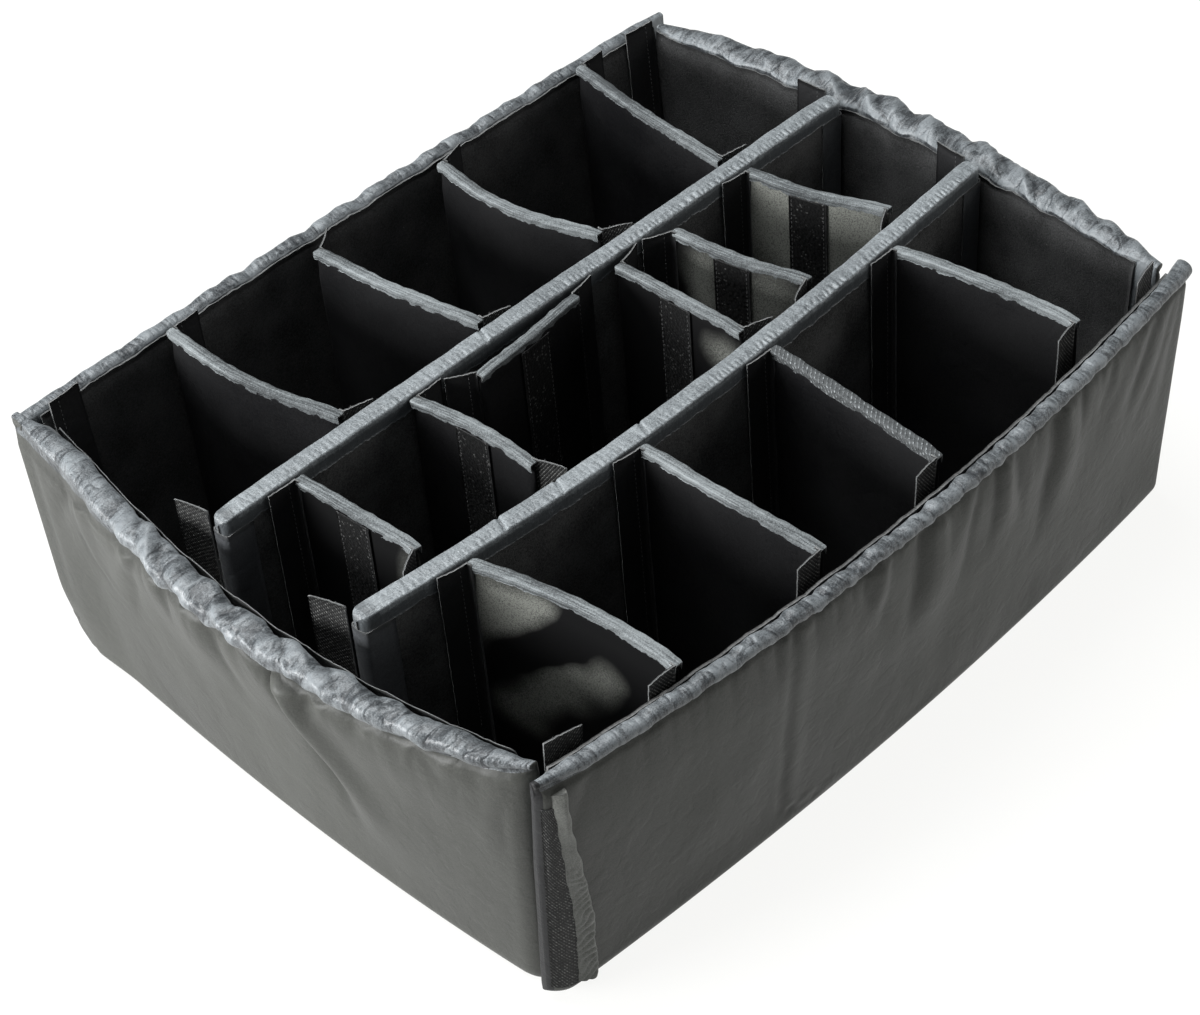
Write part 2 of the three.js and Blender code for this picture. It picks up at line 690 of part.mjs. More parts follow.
// A short divider across a bay, between a face beyond it and a face on the near side, with a flap on each end.
function shortDivider(name, row, farFace, nearFace, strip) {
  const ends = {
    far: { x: row.far * linerLength, face: farFace, gaps: row.farGaps, side: 1, along: row.farFlap },
    near: { x: row.near * linerLength, face: nearFace, gaps: row.nearGaps, side: -1, along: row.nearFlap },
  };
  const edgeY = (end, z) => {
    const atFloor = end.face(end.x, floorTop) - end.side * end.gaps[0] * flapWidth;
    const atTop = end.face(end.x, dividerTop) - end.side * end.gaps[1] * flapWidth;
    return mix(atFloor, atTop, (z - floorTop) / dividerHeight);
  };
  const bow = row.bow * shortDividerThickness;
  const place = (w, o, z) => {
    const x = mix(ends.near.x, ends.far.x, w) + bow * Math.sin(Math.PI * w) + o;
    return new THREE.Vector3(x, mix(edgeY(ends.near, z), edgeY(ends.far, z), w), z);
  };
  const flaps = Object.values(ends).map((end) => {
    const x = end.x + end.along * (shortDividerThickness / 2 - flapInset);
    const low = new THREE.Vector3(x, edgeY(end, flapLow) - end.side * flapInset, flapLow);
    const high = new THREE.Vector3(x, edgeY(end, flapHigh) - end.side * flapInset, flapHigh);
    const gapTo = (p) => end.side * (end.face(p.x, p.z) - p.y);
    return flapSolid(standingFlap(flapWidth, low, high, "y", end.side, end.along, gapTo));
  });
  const length = edgeY(ends.far, floorTop) - edgeY(ends.near, floorTop);
  const group = divider(
    name, place, shortDividerThickness, shortBindingDepth, length, shortDividerStations, flaps, "panelCloth",
  );
  if (strip) group.add(faceStrip(`${name}_strip`, place, length, -1));
  return group;
}

// The two long dividers run between the end walls, with a flap on each end that hooks to the end wall.
const longHalf = longDividerThickness / 2 + clearance + bindingThickness;
const farLongLine = () => farLongShare * linerWidth;
function nearLongLine(x) {
  const u = THREE.MathUtils.clamp(x / linerLength, 0, 1);
  return nearLongShare * linerWidth - nearLongBow * Math.sin(Math.PI * u ** nearBowSkew);
}
const upShare = (z) => (z - floorTop) / dividerHeight;
const longStartX = (z) => mix(longStartGaps.floor, longStartGaps.top, upShare(z));
const longEndX = (z) => linerLength - mix(longEndGaps.floor, longEndGaps.top, upShare(z));

function longDivider(name, line) {
  const place = (w, o, z) => {
    const x = mix(longStartX(z), longEndX(z), w);
    return new THREE.Vector3(x, line(x) + o, z);
  };
  const group = divider(
    name, place, longDividerThickness, longBindingDepth, linerLength, longDividerStations, [], "brushedLoop",
  );
  for (const [label, side, endX, face] of [
    ["left", -1, longStartX, leftWallFace],
    ["right", 1, longEndX, rightWallFace],
  ]) {
    const at = (z) => {
      const x = endX(z) - side * flapInset;
      return new THREE.Vector3(x, line(endX(floorTop)) + longHalf + flapInset + clearance, z);
    };
    const gapTo = (p) => side * (face(p.y, p.z) - p.x);
    const hinge = standingFlap(longFlapWidth, at(flapLow), at(flapHigh), "x", side, 1, gapTo);
    group.add(namedFlap(`${name}_${label}_flap`, hinge));
  }
  return group;
}

// The stowed divider lies along the far long divider and hooks flat to it at both ends. Its left flap lies over
// the flap of the divider beside it.
function stowedDivider(name) {
  const start = stowedShares.start * linerLength;
  const end = stowedShares.end * linerLength;
  const faceY = farLongLine() - longHalf;
  const half = shortDividerThickness / 2;
  const bow = stowedShares.bow * shortDividerThickness;
  const lineY = (w) => faceY - mix(stowedStartGap, stowedEndGap, w) - half - bow * Math.sin(Math.PI * w);
  const place = (w, o, z) => new THREE.Vector3(mix(start, end, w), lineY(w) + o, z);
  const flaps = [
    [start, -1, lineY(0), flapThickness + 2 * peelClearance],
    [end, 1, lineY(1), 0],
  ].map(([x, along, y, lift]) => {
    const low = new THREE.Vector3(x - along * flapInset, y + half - flapInset, flapLow);
    const high = low.clone().setZ(flapHigh);
    return flapSolid(standingFlap(flapWidth, low, high, "y", 1, along, (p) => faceY - lift - p.y));
  });
  const group = divider(
    name, place, shortDividerThickness, shortBindingDepth, end - start, shortDividerStations, flaps, "panelCloth",
  );
  group.add(faceStrip(`${name}_strip`, place, end - start, -1));
  return group;
}

// A flap at each end of an end wall, folded on to the long wall's inner face.
function cornerFlaps(wall, x, along) {
  const group = new THREE.Group();
  for (const [label, y, side, face, flare] of [
    ["near", endWallStart, -1, nearWallFace, nearFlare],
    ["far", endWallEnd, 1, farWallFace, farFlare],
  ]) {
    const at = (z) => {
      const edge = y + side * flare * (z / wallHeight);
      return new THREE.Vector3(x + along * (flapInset + clearance), edge - side * flapInset, z);
    };
    const gapTo = (p) => side * (face(p.x, p.z) - p.y);
    const high = at(wallHeight + cornerFlapRise);
    const hinge = standingFlap(cornerFlapWidth, at(flapLow), high, "y", side, along, gapTo);
    group.add(namedFlap(`${wall.name}_${label}_flap`, hinge));
  }
  return group;
}

// The liner put together
const liner = new THREE.Group();
for (const wall of [nearWall, rightWall, farWall, leftWall]) liner.add(placedWall(wall));
liner.add(named("floor_pad", floorPad(), "brushedLoop"));
liner.add(cornerFlaps(leftWall, leftWallShape.thickness, 1));
liner.add(cornerFlaps(rightWall, linerLength - rightWallShape.thickness, -1));
liner.add(longDivider("far_long_divider", farLongLine));
liner.add(longDivider("near_long_divider", nearLongLine));

const farBayFace = (x) => farLongLine(x) + longHalf;
const centreFarFace = (x) => farLongLine(x) - longHalf;
const centreNearFace = (x) => nearLongLine(x) + longHalf;
const nearBayFace = (x) => nearLongLine(x) - longHalf;
farBayShares.forEach((row, i) => {
  liner.add(shortDivider(`far_divider_${i + 1}`, row, farWallFace, farBayFace, false));
});
centreBayShares.forEach((row, i) => {
  liner.add(shortDivider(`centre_divider_${i + 1}`, row, centreFarFace, centreNearFace, true));
});
liner.add(stowedDivider("stowed_divider"));
nearBayShares.forEach((row, i) => {
  liner.add(shortDivider(`near_divider_${i + 1}`, row, nearBayFace, nearWallFace, false));
});

// The origin goes under the middle of the whole liner.
const box = new THREE.Box3().setFromObject(liner, true);
const middle = box.getCenter(new THREE.Vector3());
liner.position.set(-middle.x, -middle.y, -box.min.z);

const part = new THREE.Group();
part.add(liner);

export default part;
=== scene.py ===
import math
from types import SimpleNamespace

import bpy
import numpy as np
from mathutils import Matrix


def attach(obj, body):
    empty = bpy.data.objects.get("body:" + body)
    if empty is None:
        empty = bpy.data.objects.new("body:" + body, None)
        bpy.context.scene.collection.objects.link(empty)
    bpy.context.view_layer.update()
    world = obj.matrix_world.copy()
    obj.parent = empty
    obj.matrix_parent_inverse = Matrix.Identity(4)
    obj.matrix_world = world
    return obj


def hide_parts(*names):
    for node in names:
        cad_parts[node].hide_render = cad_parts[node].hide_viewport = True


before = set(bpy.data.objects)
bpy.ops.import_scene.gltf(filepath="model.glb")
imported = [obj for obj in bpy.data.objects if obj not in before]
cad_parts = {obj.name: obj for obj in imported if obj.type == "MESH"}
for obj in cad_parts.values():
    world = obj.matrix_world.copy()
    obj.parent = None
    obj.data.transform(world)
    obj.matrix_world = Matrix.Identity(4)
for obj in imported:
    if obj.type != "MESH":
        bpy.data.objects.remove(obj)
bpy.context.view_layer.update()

# All sizes are in millimetres from the outer corner of the floor, between the near wall and the left end wall.
MM = 0.001
CORNER = np.array([-272.015, -203.037, 0.0])
LENGTH = 555.0
WIDTH = 432.0
HEIGHT = 196.0
HEM = 14.0
FLOOR_TOP = 8.3
DIVIDER_TOP = 202.8
DIVIDER_HEIGHT = DIVIDER_TOP - FLOOR_TOP
LONG_HALF = 6.0
SHORT_HALF = 3.5
FLAP_WIDTH = 20.0
WIDE_FLAP = 24.0
FLAP_HALF = 0.8
FLAP_LOW = 11.3
FLAP_HIGH = 201.3
# From the middle line of a long divider to its face, and the middle line of the far one.
LONG_FACE = 7.3
FAR_LINE = 266.112
# The radius of a wall's rounded ends, and the rows of its cover's cloth below the seam.
END_RADIUS = 6.0
ROWS_BELOW = 44


def lerp(a, b, t):
    return a + (b - a) * t


def smooth(t):
    t = np.clip(t, 0, 1)
    return t * t * (3 - 2 * t)


def noise(x, y, seed):
    """Soft noise from about -1 to 1, the same on every run."""
    x, y = np.broadcast_arrays(np.asarray(x, float), np.asarray(y, float))
    turn = np.random.default_rng(seed).uniform(0, 2 * np.pi, (64, 64))
    cell_x, cell_y = np.floor(x).astype(int), np.floor(y).astype(int)
    part_x, part_y = x - cell_x, y - cell_y
    blend_x = part_x**3 * (part_x * (part_x * 6 - 15) + 10)
    blend_y = part_y**3 * (part_y * (part_y * 6 - 15) + 10)
    corner = []
    for i in (0, 1):
        for j in (0, 1):
            angle = turn[(cell_x + i) % 64, (cell_y + j) % 64]
            corner.append(np.cos(angle) * (part_x - i) + np.sin(angle) * (part_y - j))
    left = lerp(corner[0], corner[1], blend_y)
    right = lerp(corner[2], corner[3], blend_y)
    return 1.6 * lerp(left, right, blend_x)


def crumples(s, t, size, seed):
    """Slanting folds of crumpled nylon: ridges and valleys with plain facets between, about -1 to 1."""
    angle = 1.1 * noise(s / 75, 2.5, seed) + 0.5 * noise(s / 30, t / 40, seed + 1)
    across = (s * np.cos(angle) + t * np.sin(angle)) / size
    onward = (t * np.cos(angle) - s * np.sin(angle)) / (2.6 * size)
    across = across + 0.35 * noise(s / size, t / size, seed + 2)
    ridge = np.exp(-np.abs(noise(across, onward, seed + 3)) * 3.2)
    valley = np.exp(-np.abs(noise(across * 0.8 + 9.3, onward * 0.9 + 4.1, seed + 4)) * 3.6)
    return ridge - 1.1 * valley + 0.7 * noise(across * 0.5, onward, seed + 5)


def facets(s, t, wide, long, seed):
    """Crumpled nylon: plane facets that meet in ridges and valleys by turns along s, from -1 to 1."""
    s, t = np.broadcast_arrays(s, t)
    x = s / wide + 0.55 * noise(s / (2.3 * wide), t / (2.3 * long), seed)
    y = t / long + 0.55 * noise(s / (2.3 * wide) + 5.0, t / (2.3 * long), seed + 1)
    height = np.random.default_rng(seed + 2).uniform(0.2, 1.0, (128, 32))
    height[::2] *= -1
    i, j = np.floor(x).astype(int), np.floor(y).astype(int)
    p, q = x - i, y - j
    flip = (i + j) % 2
    p = np.where(flip, 1 - p, p)

    def corner(a, b):
        return height[(i + a + flip * (1 - 2 * a)) % 128, (j + b) % 32]

    upper = corner(0, 0) + q * (corner(0, 1) - corner(0, 0)) + p * (corner(1, 1) - corner(0, 1))
    lower = corner(0, 0) + p * (corner(1, 0) - corner(0, 0)) + q * (corner(1, 1) - corner(1, 0))
    return np.where(q > p, upper, lower)


def gathers(s, t, places, slants, full_spacing):
    """Cloth drawn up between stitches: 0 in the drawn lines across s, and up to 1 on the puffs between."""
    s, t = np.broadcast_arrays(s, t)
    below = np.full(s.shape, -full_spacing)
    above = np.full(s.shape, 1e6)
    for k, (place, slant) in enumerate(zip(places, slants)):
        line = place + slant * t + 1.5 * noise(t / 9 + 7 * k, place, 5)
        below = np.where(line <= s, np.maximum(below, line), below)
        above = np.where(line > s, np.minimum(above, line), above)
    above = np.where(above > 1e5, np.max(s) + full_spacing, above)
    spacing = above - below
    across = (s - below) / np.maximum(spacing, 0.1)
    return np.abs(np.sin(np.pi * np.clip(across, 0, 1))) ** 0.6 * np.minimum(spacing / full_spacing, 1.25)


def finer(points, factor):
    """A grid of points drawn through with smooth curves, at a closer spacing both ways."""
    for axis in (0, 1):
        grid = np.moveaxis(points, axis, 0)
        count = len(grid)
        place = np.linspace(0, count - 1, (count - 1) * factor + 1)
        low = np.minimum(place.astype(int), count - 2)
        t = (place - low)[:, None, None]
        before, after = grid[np.maximum(low - 1, 0)], grid[np.minimum(low + 2, count - 1)]
        start, end = grid[low], grid[low + 1]
        grid = 0.5 * (
            2 * start + (end - before) * t + (2 * before - 5 * start + 4 * end - after) * t**2
            + (3 * start - before - 3 * end + after) * t**3
        )
        points = np.moveaxis(grid, 0, axis)
    return points


# Cloth runs in a larger scale, where its solver is steady, and no point of it may move further than the reach.
CLOTH_SCALE = 0.01
CLOTH_FRAMES = 18
CLOTH_REACH = 9.0
CLOTH_SETTINGS = {
    "quality": 6, "mass": 0.3, "air_damping": 1.5, "tension_stiffness": 25.0, "compression_stiffness": 25.0,
    "shear_stiffness": 12.0, "bending_stiffness": 1.2, "vertex_group_mass": "held", "pin_stiffness": 2.0,
}


def settled_cloth(name, start, cut, held):
    """Lets cloth cut as one grid of points settle from another, where its held points stay in place."""
    rows, columns = start.shape[:2]
    cells = grid_faces(rows, columns)
    mesh = bpy.data.meshes.new(name)
    middle = start.reshape(-1, 3).mean(axis=0)
    vertices = (start - middle).reshape(-1, 3) * CLOTH_SCALE
    mesh.from_pydata(vertices.tolist(), [], (cells[..., 0] * columns + cells[..., 1]).tolist())
    cloth = shown_object(name, mesh)
    cloth.shape_key_add(name="start")
    flat = cloth.shape_key_add(name="cut")
    flat.data.foreach_set("co", ((cut - middle).reshape(-1) * CLOTH_SCALE).astype(np.float32))
    group = cloth.vertex_groups.new(name="held")
    for k, weight in enumerate(held.reshape(-1)):
        if weight > 0:
            group.add([k], float(weight), "REPLACE")
    modifier = cloth.modifiers.new("cloth", "CLOTH")
    for key, value in {**CLOTH_SETTINGS, "rest_shape_key": flat}.items():
        setattr(modifier.settings, key, value)
    modifier.settings.effector_weights.gravity = 0.0
    modifier.collision_settings.use_collision = False
    modifier.point_cache.frame_end = CLOTH_FRAMES
    scene = bpy.context.scene
    for frame_number in range(1, CLOTH_FRAMES + 1):
        scene.frame_set(frame_number)
    shown = cloth.evaluated_get(bpy.context.evaluated_depsgraph_get())
    place = np.empty(rows * columns * 3, np.float32)
    shown.data.vertices.foreach_get("co", place)
    bpy.data.objects.remove(cloth)
    bpy.data.meshes.remove(mesh)
    scene.frame_set(1)
    settled = place.reshape(rows, columns, 3).astype(float) / CLOTH_SCALE + middle
    moved = settled - start
    far = np.linalg.norm(moved, axis=2, keepdims=True)
    return start + moved * np.minimum(1, CLOTH_REACH / np.maximum(far, 1e-6))


# Meshes from grids of points


def in_metres(points):
    return (np.asarray(points, float).reshape(-1, 3) + CORNER) * MM


def grid_of(x, y, z):
    """A grid of points from its three coordinates."""
    return np.stack(np.broadcast_arrays(x, y, z), -1)


def shown_object(name, data):
    made = bpy.data.objects.new(name, data)
    bpy.context.scene.collection.objects.link(made)
    return made


def lengths_along(points, axis):
    step = np.linalg.norm(np.diff(points, axis=axis), axis=2).mean(axis=1 - axis)
    return np.concatenate([[0], np.cumsum(step)]) * MM


def grid_faces(rows, columns):
    """Corners of the cells of a grid as row and column numbers."""
    i, j = np.meshgrid(np.arange(rows - 1), np.arange(columns - 1), indexing="ij")
    return np.stack([i, j, i, j + 1, i + 1, j + 1, i + 1, j], -1).reshape(-1, 4, 2)


def make_object(name, vertices, faces, cloth_places, kinds, materials, body, heights):
    mesh = bpy.data.meshes.new(name)
    mesh.from_pydata(vertices.tolist(), [], faces)
    relief_layer = mesh.attributes.new("relief", "FLOAT", "POINT")
    relief_layer.data.foreach_set("value", heights.astype(np.float32).ravel())
    mesh.uv_layers.new(name="cloth").data.foreach_set("uv", np.asarray(cloth_places, np.float32).ravel())
    mesh.polygons.foreach_set("use_smooth", np.ones(len(faces), bool))
    mesh.polygons.foreach_set("material_index", np.asarray(kinds, np.int32))
    for material in materials:
        mesh.materials.append(material)
    mesh.update()
    piece = shown_object(name, mesh)
    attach(piece, body)
    return piece


def signed_volume(vertices, faces):
    total = 0.0
    for face in (faces[:, [0, 1, 2]], faces[:, [0, 2, 3]]):
        a, b, c = (vertices[face[:, k]] for k in range(3))
        total += float((a * np.cross(b, c)).sum())
    return total


def outward(points, away_from):
    """Unit normals of a grid of points, on the side away from a point."""
    normal = np.cross(np.gradient(points, axis=0), np.gradient(points, axis=1))
    normal = normal / np.maximum(np.linalg.norm(normal, axis=2, keepdims=True), 1e-9)
    return normal * np.sign((normal * (points - away_from)).sum())


def relief(points, normal, closed):
    """How far each point stands out of the surface round it, or beside it in an open grid, in millimetres."""
    even = points
    for _ in range(7):
        for axis in (0, 1) if closed else (0,):
            before, after = np.roll(even, 1, axis), np.roll(even, -1, axis)
            if axis == 0:
                before[[0, -1]] = after[[0, -1]] = even[[0, -1]]
            even = (before + 2 * even + after) / 4
    return ((points - even) * normal).sum(axis=2)


def tube(name, points, material, body, kinds=None, more_materials=()):
    """A closed body from closed sections: points is sections x places x 3."""
    rows, columns = points.shape[:2]
    around = np.concatenate([points, points[:, :1]], axis=1)
    cells = grid_faces(rows, columns + 1)
    u, v = lengths_along(around, 0), lengths_along(around, 1)
    faces = cells[..., 0] * columns + cells[..., 1] % columns
    places = np.stack([u[cells[..., 0]], v[cells[..., 1]]], -1)
    heights = relief(points, outward(points, points.mean(axis=(0, 1))), True)
    vertices = in_metres(points)
    middle = vertices.mean(axis=0)
    if signed_volume(vertices - middle, faces) < 0:
        faces, places = faces[:, ::-1], places[:, ::-1]
        ends = [list(range(columns)), list(range(rows * columns - 1, (rows - 1) * columns - 1, -1))]
    else:
        ends = [list(range(columns - 1, -1, -1)), list(range((rows - 1) * columns, rows * columns))]
    end_places = np.stack([np.tile(v[:-1], 2), np.repeat([u[0], u[-1]], columns)], -1)
    every_place = np.concatenate([places.reshape(-1, 2), end_places])
    every_face = faces.tolist() + ends
    shown = [0] * len(every_face) if kinds is None else [*kinds.reshape(-1).tolist(), kinds[0, 0], kinds[-1, 0]]
    materials = [material, *more_materials]
    return make_object(name, vertices, every_face, every_place, shown, materials, body, heights)


def slab(name, front, back, materials, body):
    """A thin body between two grids of points. The materials are for its front, its back and its cut edge."""
    rows, columns = front.shape[:2]
    u, v = lengths_along(front, 0), lengths_along(front, 1)
    cells = grid_faces(rows, columns)
    number = cells[..., 0] * columns + cells[..., 1]
    places = np.stack([u[cells[..., 0]], v[cells[..., 1]]], -1)
    count = rows * columns
    ring = [(i, 0) for i in range(rows)] + [(rows - 1, j) for j in range(1, columns)]
    ring += [(i, columns - 1) for i in range(rows - 2, -1, -1)] + [(0, j) for j in range(columns - 2, 0, -1)]
    ring = np.array(ring)
    following = np.roll(ring, -1, axis=0)
    a, b = ring[:, 0] * columns + ring[:, 1], following[:, 0] * columns + following[:, 1]
    sides = np.stack([a, b, b + count, a + count], -1)
    depth = float(np.linalg.norm(front - back, axis=2).mean()) * MM
    step_u, step_v = u[following[:, 0]] - u[ring[:, 0]], v[following[:, 1]] - v[ring[:, 1]]
    run = np.concatenate([[0], np.cumsum(np.abs(step_u) + np.abs(step_v))])
    corners = ((run[:-1], 0.0), (run[1:], 0.0), (run[1:], depth), (run[:-1], depth))
    side_places = np.stack([np.stack(np.broadcast_arrays(*corner), -1) for corner in corners], axis=1)
    faces = np.concatenate([number, (number + count)[:, ::-1], sides[:, ::-1]])
    every_place = np.concatenate([places, places[:, ::-1], side_places[:, ::-1]])
    vertices = np.concatenate([in_metres(front), in_metres(back)])
    if signed_volume(vertices - vertices.mean(axis=0), faces) < 0:
        faces, every_place = faces[:, ::-1], every_place[:, ::-1]
    kinds = [0] * len(number) + [1] * len(number) + [2] * len(sides)
    heights = relief(front, outward(front, back.mean(axis=(0, 1))), False)
    heights = np.concatenate([heights.ravel(), 0 * heights.ravel()])
    return make_object(name, vertices, faces.tolist(), every_place, kinds, materials, body, heights)


# Materials


class Flow:
    """A number that runs through a node tree, for use in plain formulas."""

    def __init__(self, tree, socket):
        self.tree, self.socket = tree, socket

    def maths(self, operation, *others):
        values = dict(enumerate((self, *others)))
        node = add_node(self.tree, "ShaderNodeMath", values, operation=operation)
        return Flow(self.tree, node.outputs[0])

    def __add__(self, other):
        return self.maths("ADD", other)

    def __sub__(self, other):
        return self.maths("SUBTRACT", other)

    def __mul__(self, other):
        return self.maths("MULTIPLY", other)

    def __truediv__(self, other):
        return self.maths("DIVIDE", other)

    __radd__ = __add__

    def scaled(self, from_low, from_high, to_low, to_high):
        """Carries one range over to another, with no value outside it."""
        ends = {"From Min": from_low, "From Max": from_high, "To Min": to_low, "To Max": to_high}
        node = add_node(self.tree, "ShaderNodeMapRange", {"Value": self, **ends})
        return Flow(self.tree, node.outputs["Result"])


def feed(tree, inputs, values):
    """Sets inputs by name or number, each to a constant or from a socket."""
    for key, value in values.items():
        if isinstance(value, Flow):
            value = value.socket
        if isinstance(value, bpy.types.NodeSocket):
            tree.links.new(value, inputs[key])
        else:
            inputs[key].default_value = value


def add_node(tree, kind, values=None, **settings):
    node = tree.nodes.new(kind)
    for key, value in settings.items():
        setattr(node, key, value)
    feed(tree, node.inputs, values or {})
    return node


def noisy(tree, place, scale, detail, distortion=0.0):
    values = {"Vector": place, "Scale": scale, "Detail": detail, "Distortion": distortion}
    return Flow(tree, add_node(tree, "ShaderNodeTexNoise", values).outputs[0])


def voronoi(tree, place, scale, feature="F1"):
    return add_node(tree, "ShaderNodeTexVoronoi", {"Vector": place, "Scale": scale}, feature=feature).outputs


def turned(tree, place, scale, angle=0.0):
    values = {"Vector": place, "Scale": scale, "Rotation": (0.0, 0.0, angle)}
    return add_node(tree, "ShaderNodeMapping", values).outputs[0]


def parts(tree, vector):
    return [Flow(tree, part) for part in add_node(tree, "ShaderNodeSeparateXYZ", {0: vector}).outputs]


def new_group(name, inputs, outputs):
    """A shader group. Its inputs are numbers with a value to start from, and a vector where that is missing."""
    group = bpy.data.node_groups.new(name, "ShaderNodeTree")
    for label, value in inputs.items():
        kind = "NodeSocketVector" if value is None else "NodeSocketFloat"
        socket = group.interface.new_socket(label, in_out="INPUT", socket_type=kind)
        if value is not None:
            socket.default_value = value
    for label in outputs:
        group.interface.new_socket(label, in_out="OUTPUT", socket_type="NodeSocketFloat")
    return group, group.nodes.new("NodeGroupInput").outputs, group.nodes.new("NodeGroupOutput").inputs


def use_group(tree, group, values):
    outputs = add_node(tree, "ShaderNodeGroup", values, node_tree=group).outputs
    return {output.name: Flow(tree, output) for output in outputs}


def weave_group():
    """Plain weave that follows the cloth: its threads' height, and slubs that vary their tone."""
    inputs = {"Cloth": None, "Threads per metre": 2200.0, "Slub": 0.5}
    group, given, made = new_group("plain weave", inputs, ["Height", "Tone"])
    turn = Flow(group, given["Threads per metre"]) * math.pi
    warp, weft = ((part * turn).maths("SINE") for part in parts(group, given["Cloth"])[:2])
    threads = warp.maths("ABSOLUTE") + weft.maths("ABSOLUTE")
    scales = ((60.0, 900.0, 1.0), (900.0, 60.0, 1.0))
    first, second = (noisy(group, turned(group, given["Cloth"], scale), 5.0, 2.0) for scale in scales)
    tone = (first + second - 1.0) * given["Slub"]
    feed(group, made, {"Height": warp * weft * 0.6 + threads * 0.4, "Tone": tone})
    return group


def crinkle_group():
    """Fine creases and slow changes of tone, as in nylon that has been handled."""
    inputs = {"Place": None, "Crease scale": 90.0, "Cloud scale": 9.0}
    group, given, made = new_group("handled cloth", inputs, ["Height", "Cloud"])
    wander = noisy(group, given["Place"], given["Crease scale"], 3.0)
    open_cloth = ((wander - 0.5).maths("ABSOLUTE") * 9.0).maths("MINIMUM", 1.0)
    crease = open_cloth * -1.0 + 1.0
    cloud = noisy(group, given["Place"], given["Cloud scale"], 3.0)
    feed(group, made, {"Height": wander - crease * 0.35, "Cloud": cloud})
    return group


def lint_group():
    """Pale specks and short fibres that cling to black cloth."""
    group, given, made = new_group("lint", {"Place": None, "Amount": 0.5}, ["Mask"])
    specks = voronoi(group, given["Place"], 170.0)
    pick = add_node(group, "ShaderNodeTexWhiteNoise", {"Vector": specks["Position"]}, noise_dimensions="3D")
    chosen = Flow(group, pick.outputs["Value"]).maths("LESS_THAN", given["Amount"])
    feed(group, made, {"Mask": Flow(group, specks["Distance"]).scaled(0.10, 0.04, 0.0, 1.0) * chosen})
    return group


WEAVE = weave_group()
CRINKLE = crinkle_group()
LINT = lint_group()


def shaded(tree, tone, dark, light, low=0.0, high=1.0):
    """The colour of a tone between dark at the low end and light at the high one."""
    node = add_node(tree, "ShaderNodeValToRGB", {"Fac": tone})
    for element, place, colour in zip(node.color_ramp.elements, (low, high), (dark, light)):
        element.position = place
        element.color = (*colour, 1.0)
    return node.outputs["Color"]


def mix_colour(tree, share, first, second):
    node = add_node(tree, "ShaderNodeMix", data_type="RGBA")
    feed(tree, node.inputs, {0: share, 6: first, 7: second})
    return node.outputs[2]


def new_material(name, fixed):
    material = bpy.data.materials.new(name)
    material.use_nodes = True
    tree = material.node_tree
    inputs = tree.nodes["Principled BSDF"].inputs
    feed(tree, inputs, fixed)
    place = tree.nodes.new("ShaderNodeTexCoord").outputs
    return material, tree, inputs, place["Object"], place["UV"]


def bumped(tree, inputs, height, strength, distance, under=None):
    values = {"Height": height, "Strength": strength, "Distance": distance}
    if under is not None:
        values["Normal"] = under
    normal = add_node(tree, "ShaderNodeBump", values).outputs["Normal"]
    feed(tree, inputs, {"Normal": normal})
    return normal


def standing_out(tree):
    """The piece's own relief in millimetres, from its folds to its ridges, which materials turn into painted
    shade and painted light.
    """
    node = add_node(tree, "ShaderNodeAttribute", attribute_name="relief", attribute_type="GEOMETRY")
    return Flow(tree, node.outputs["Fac"])


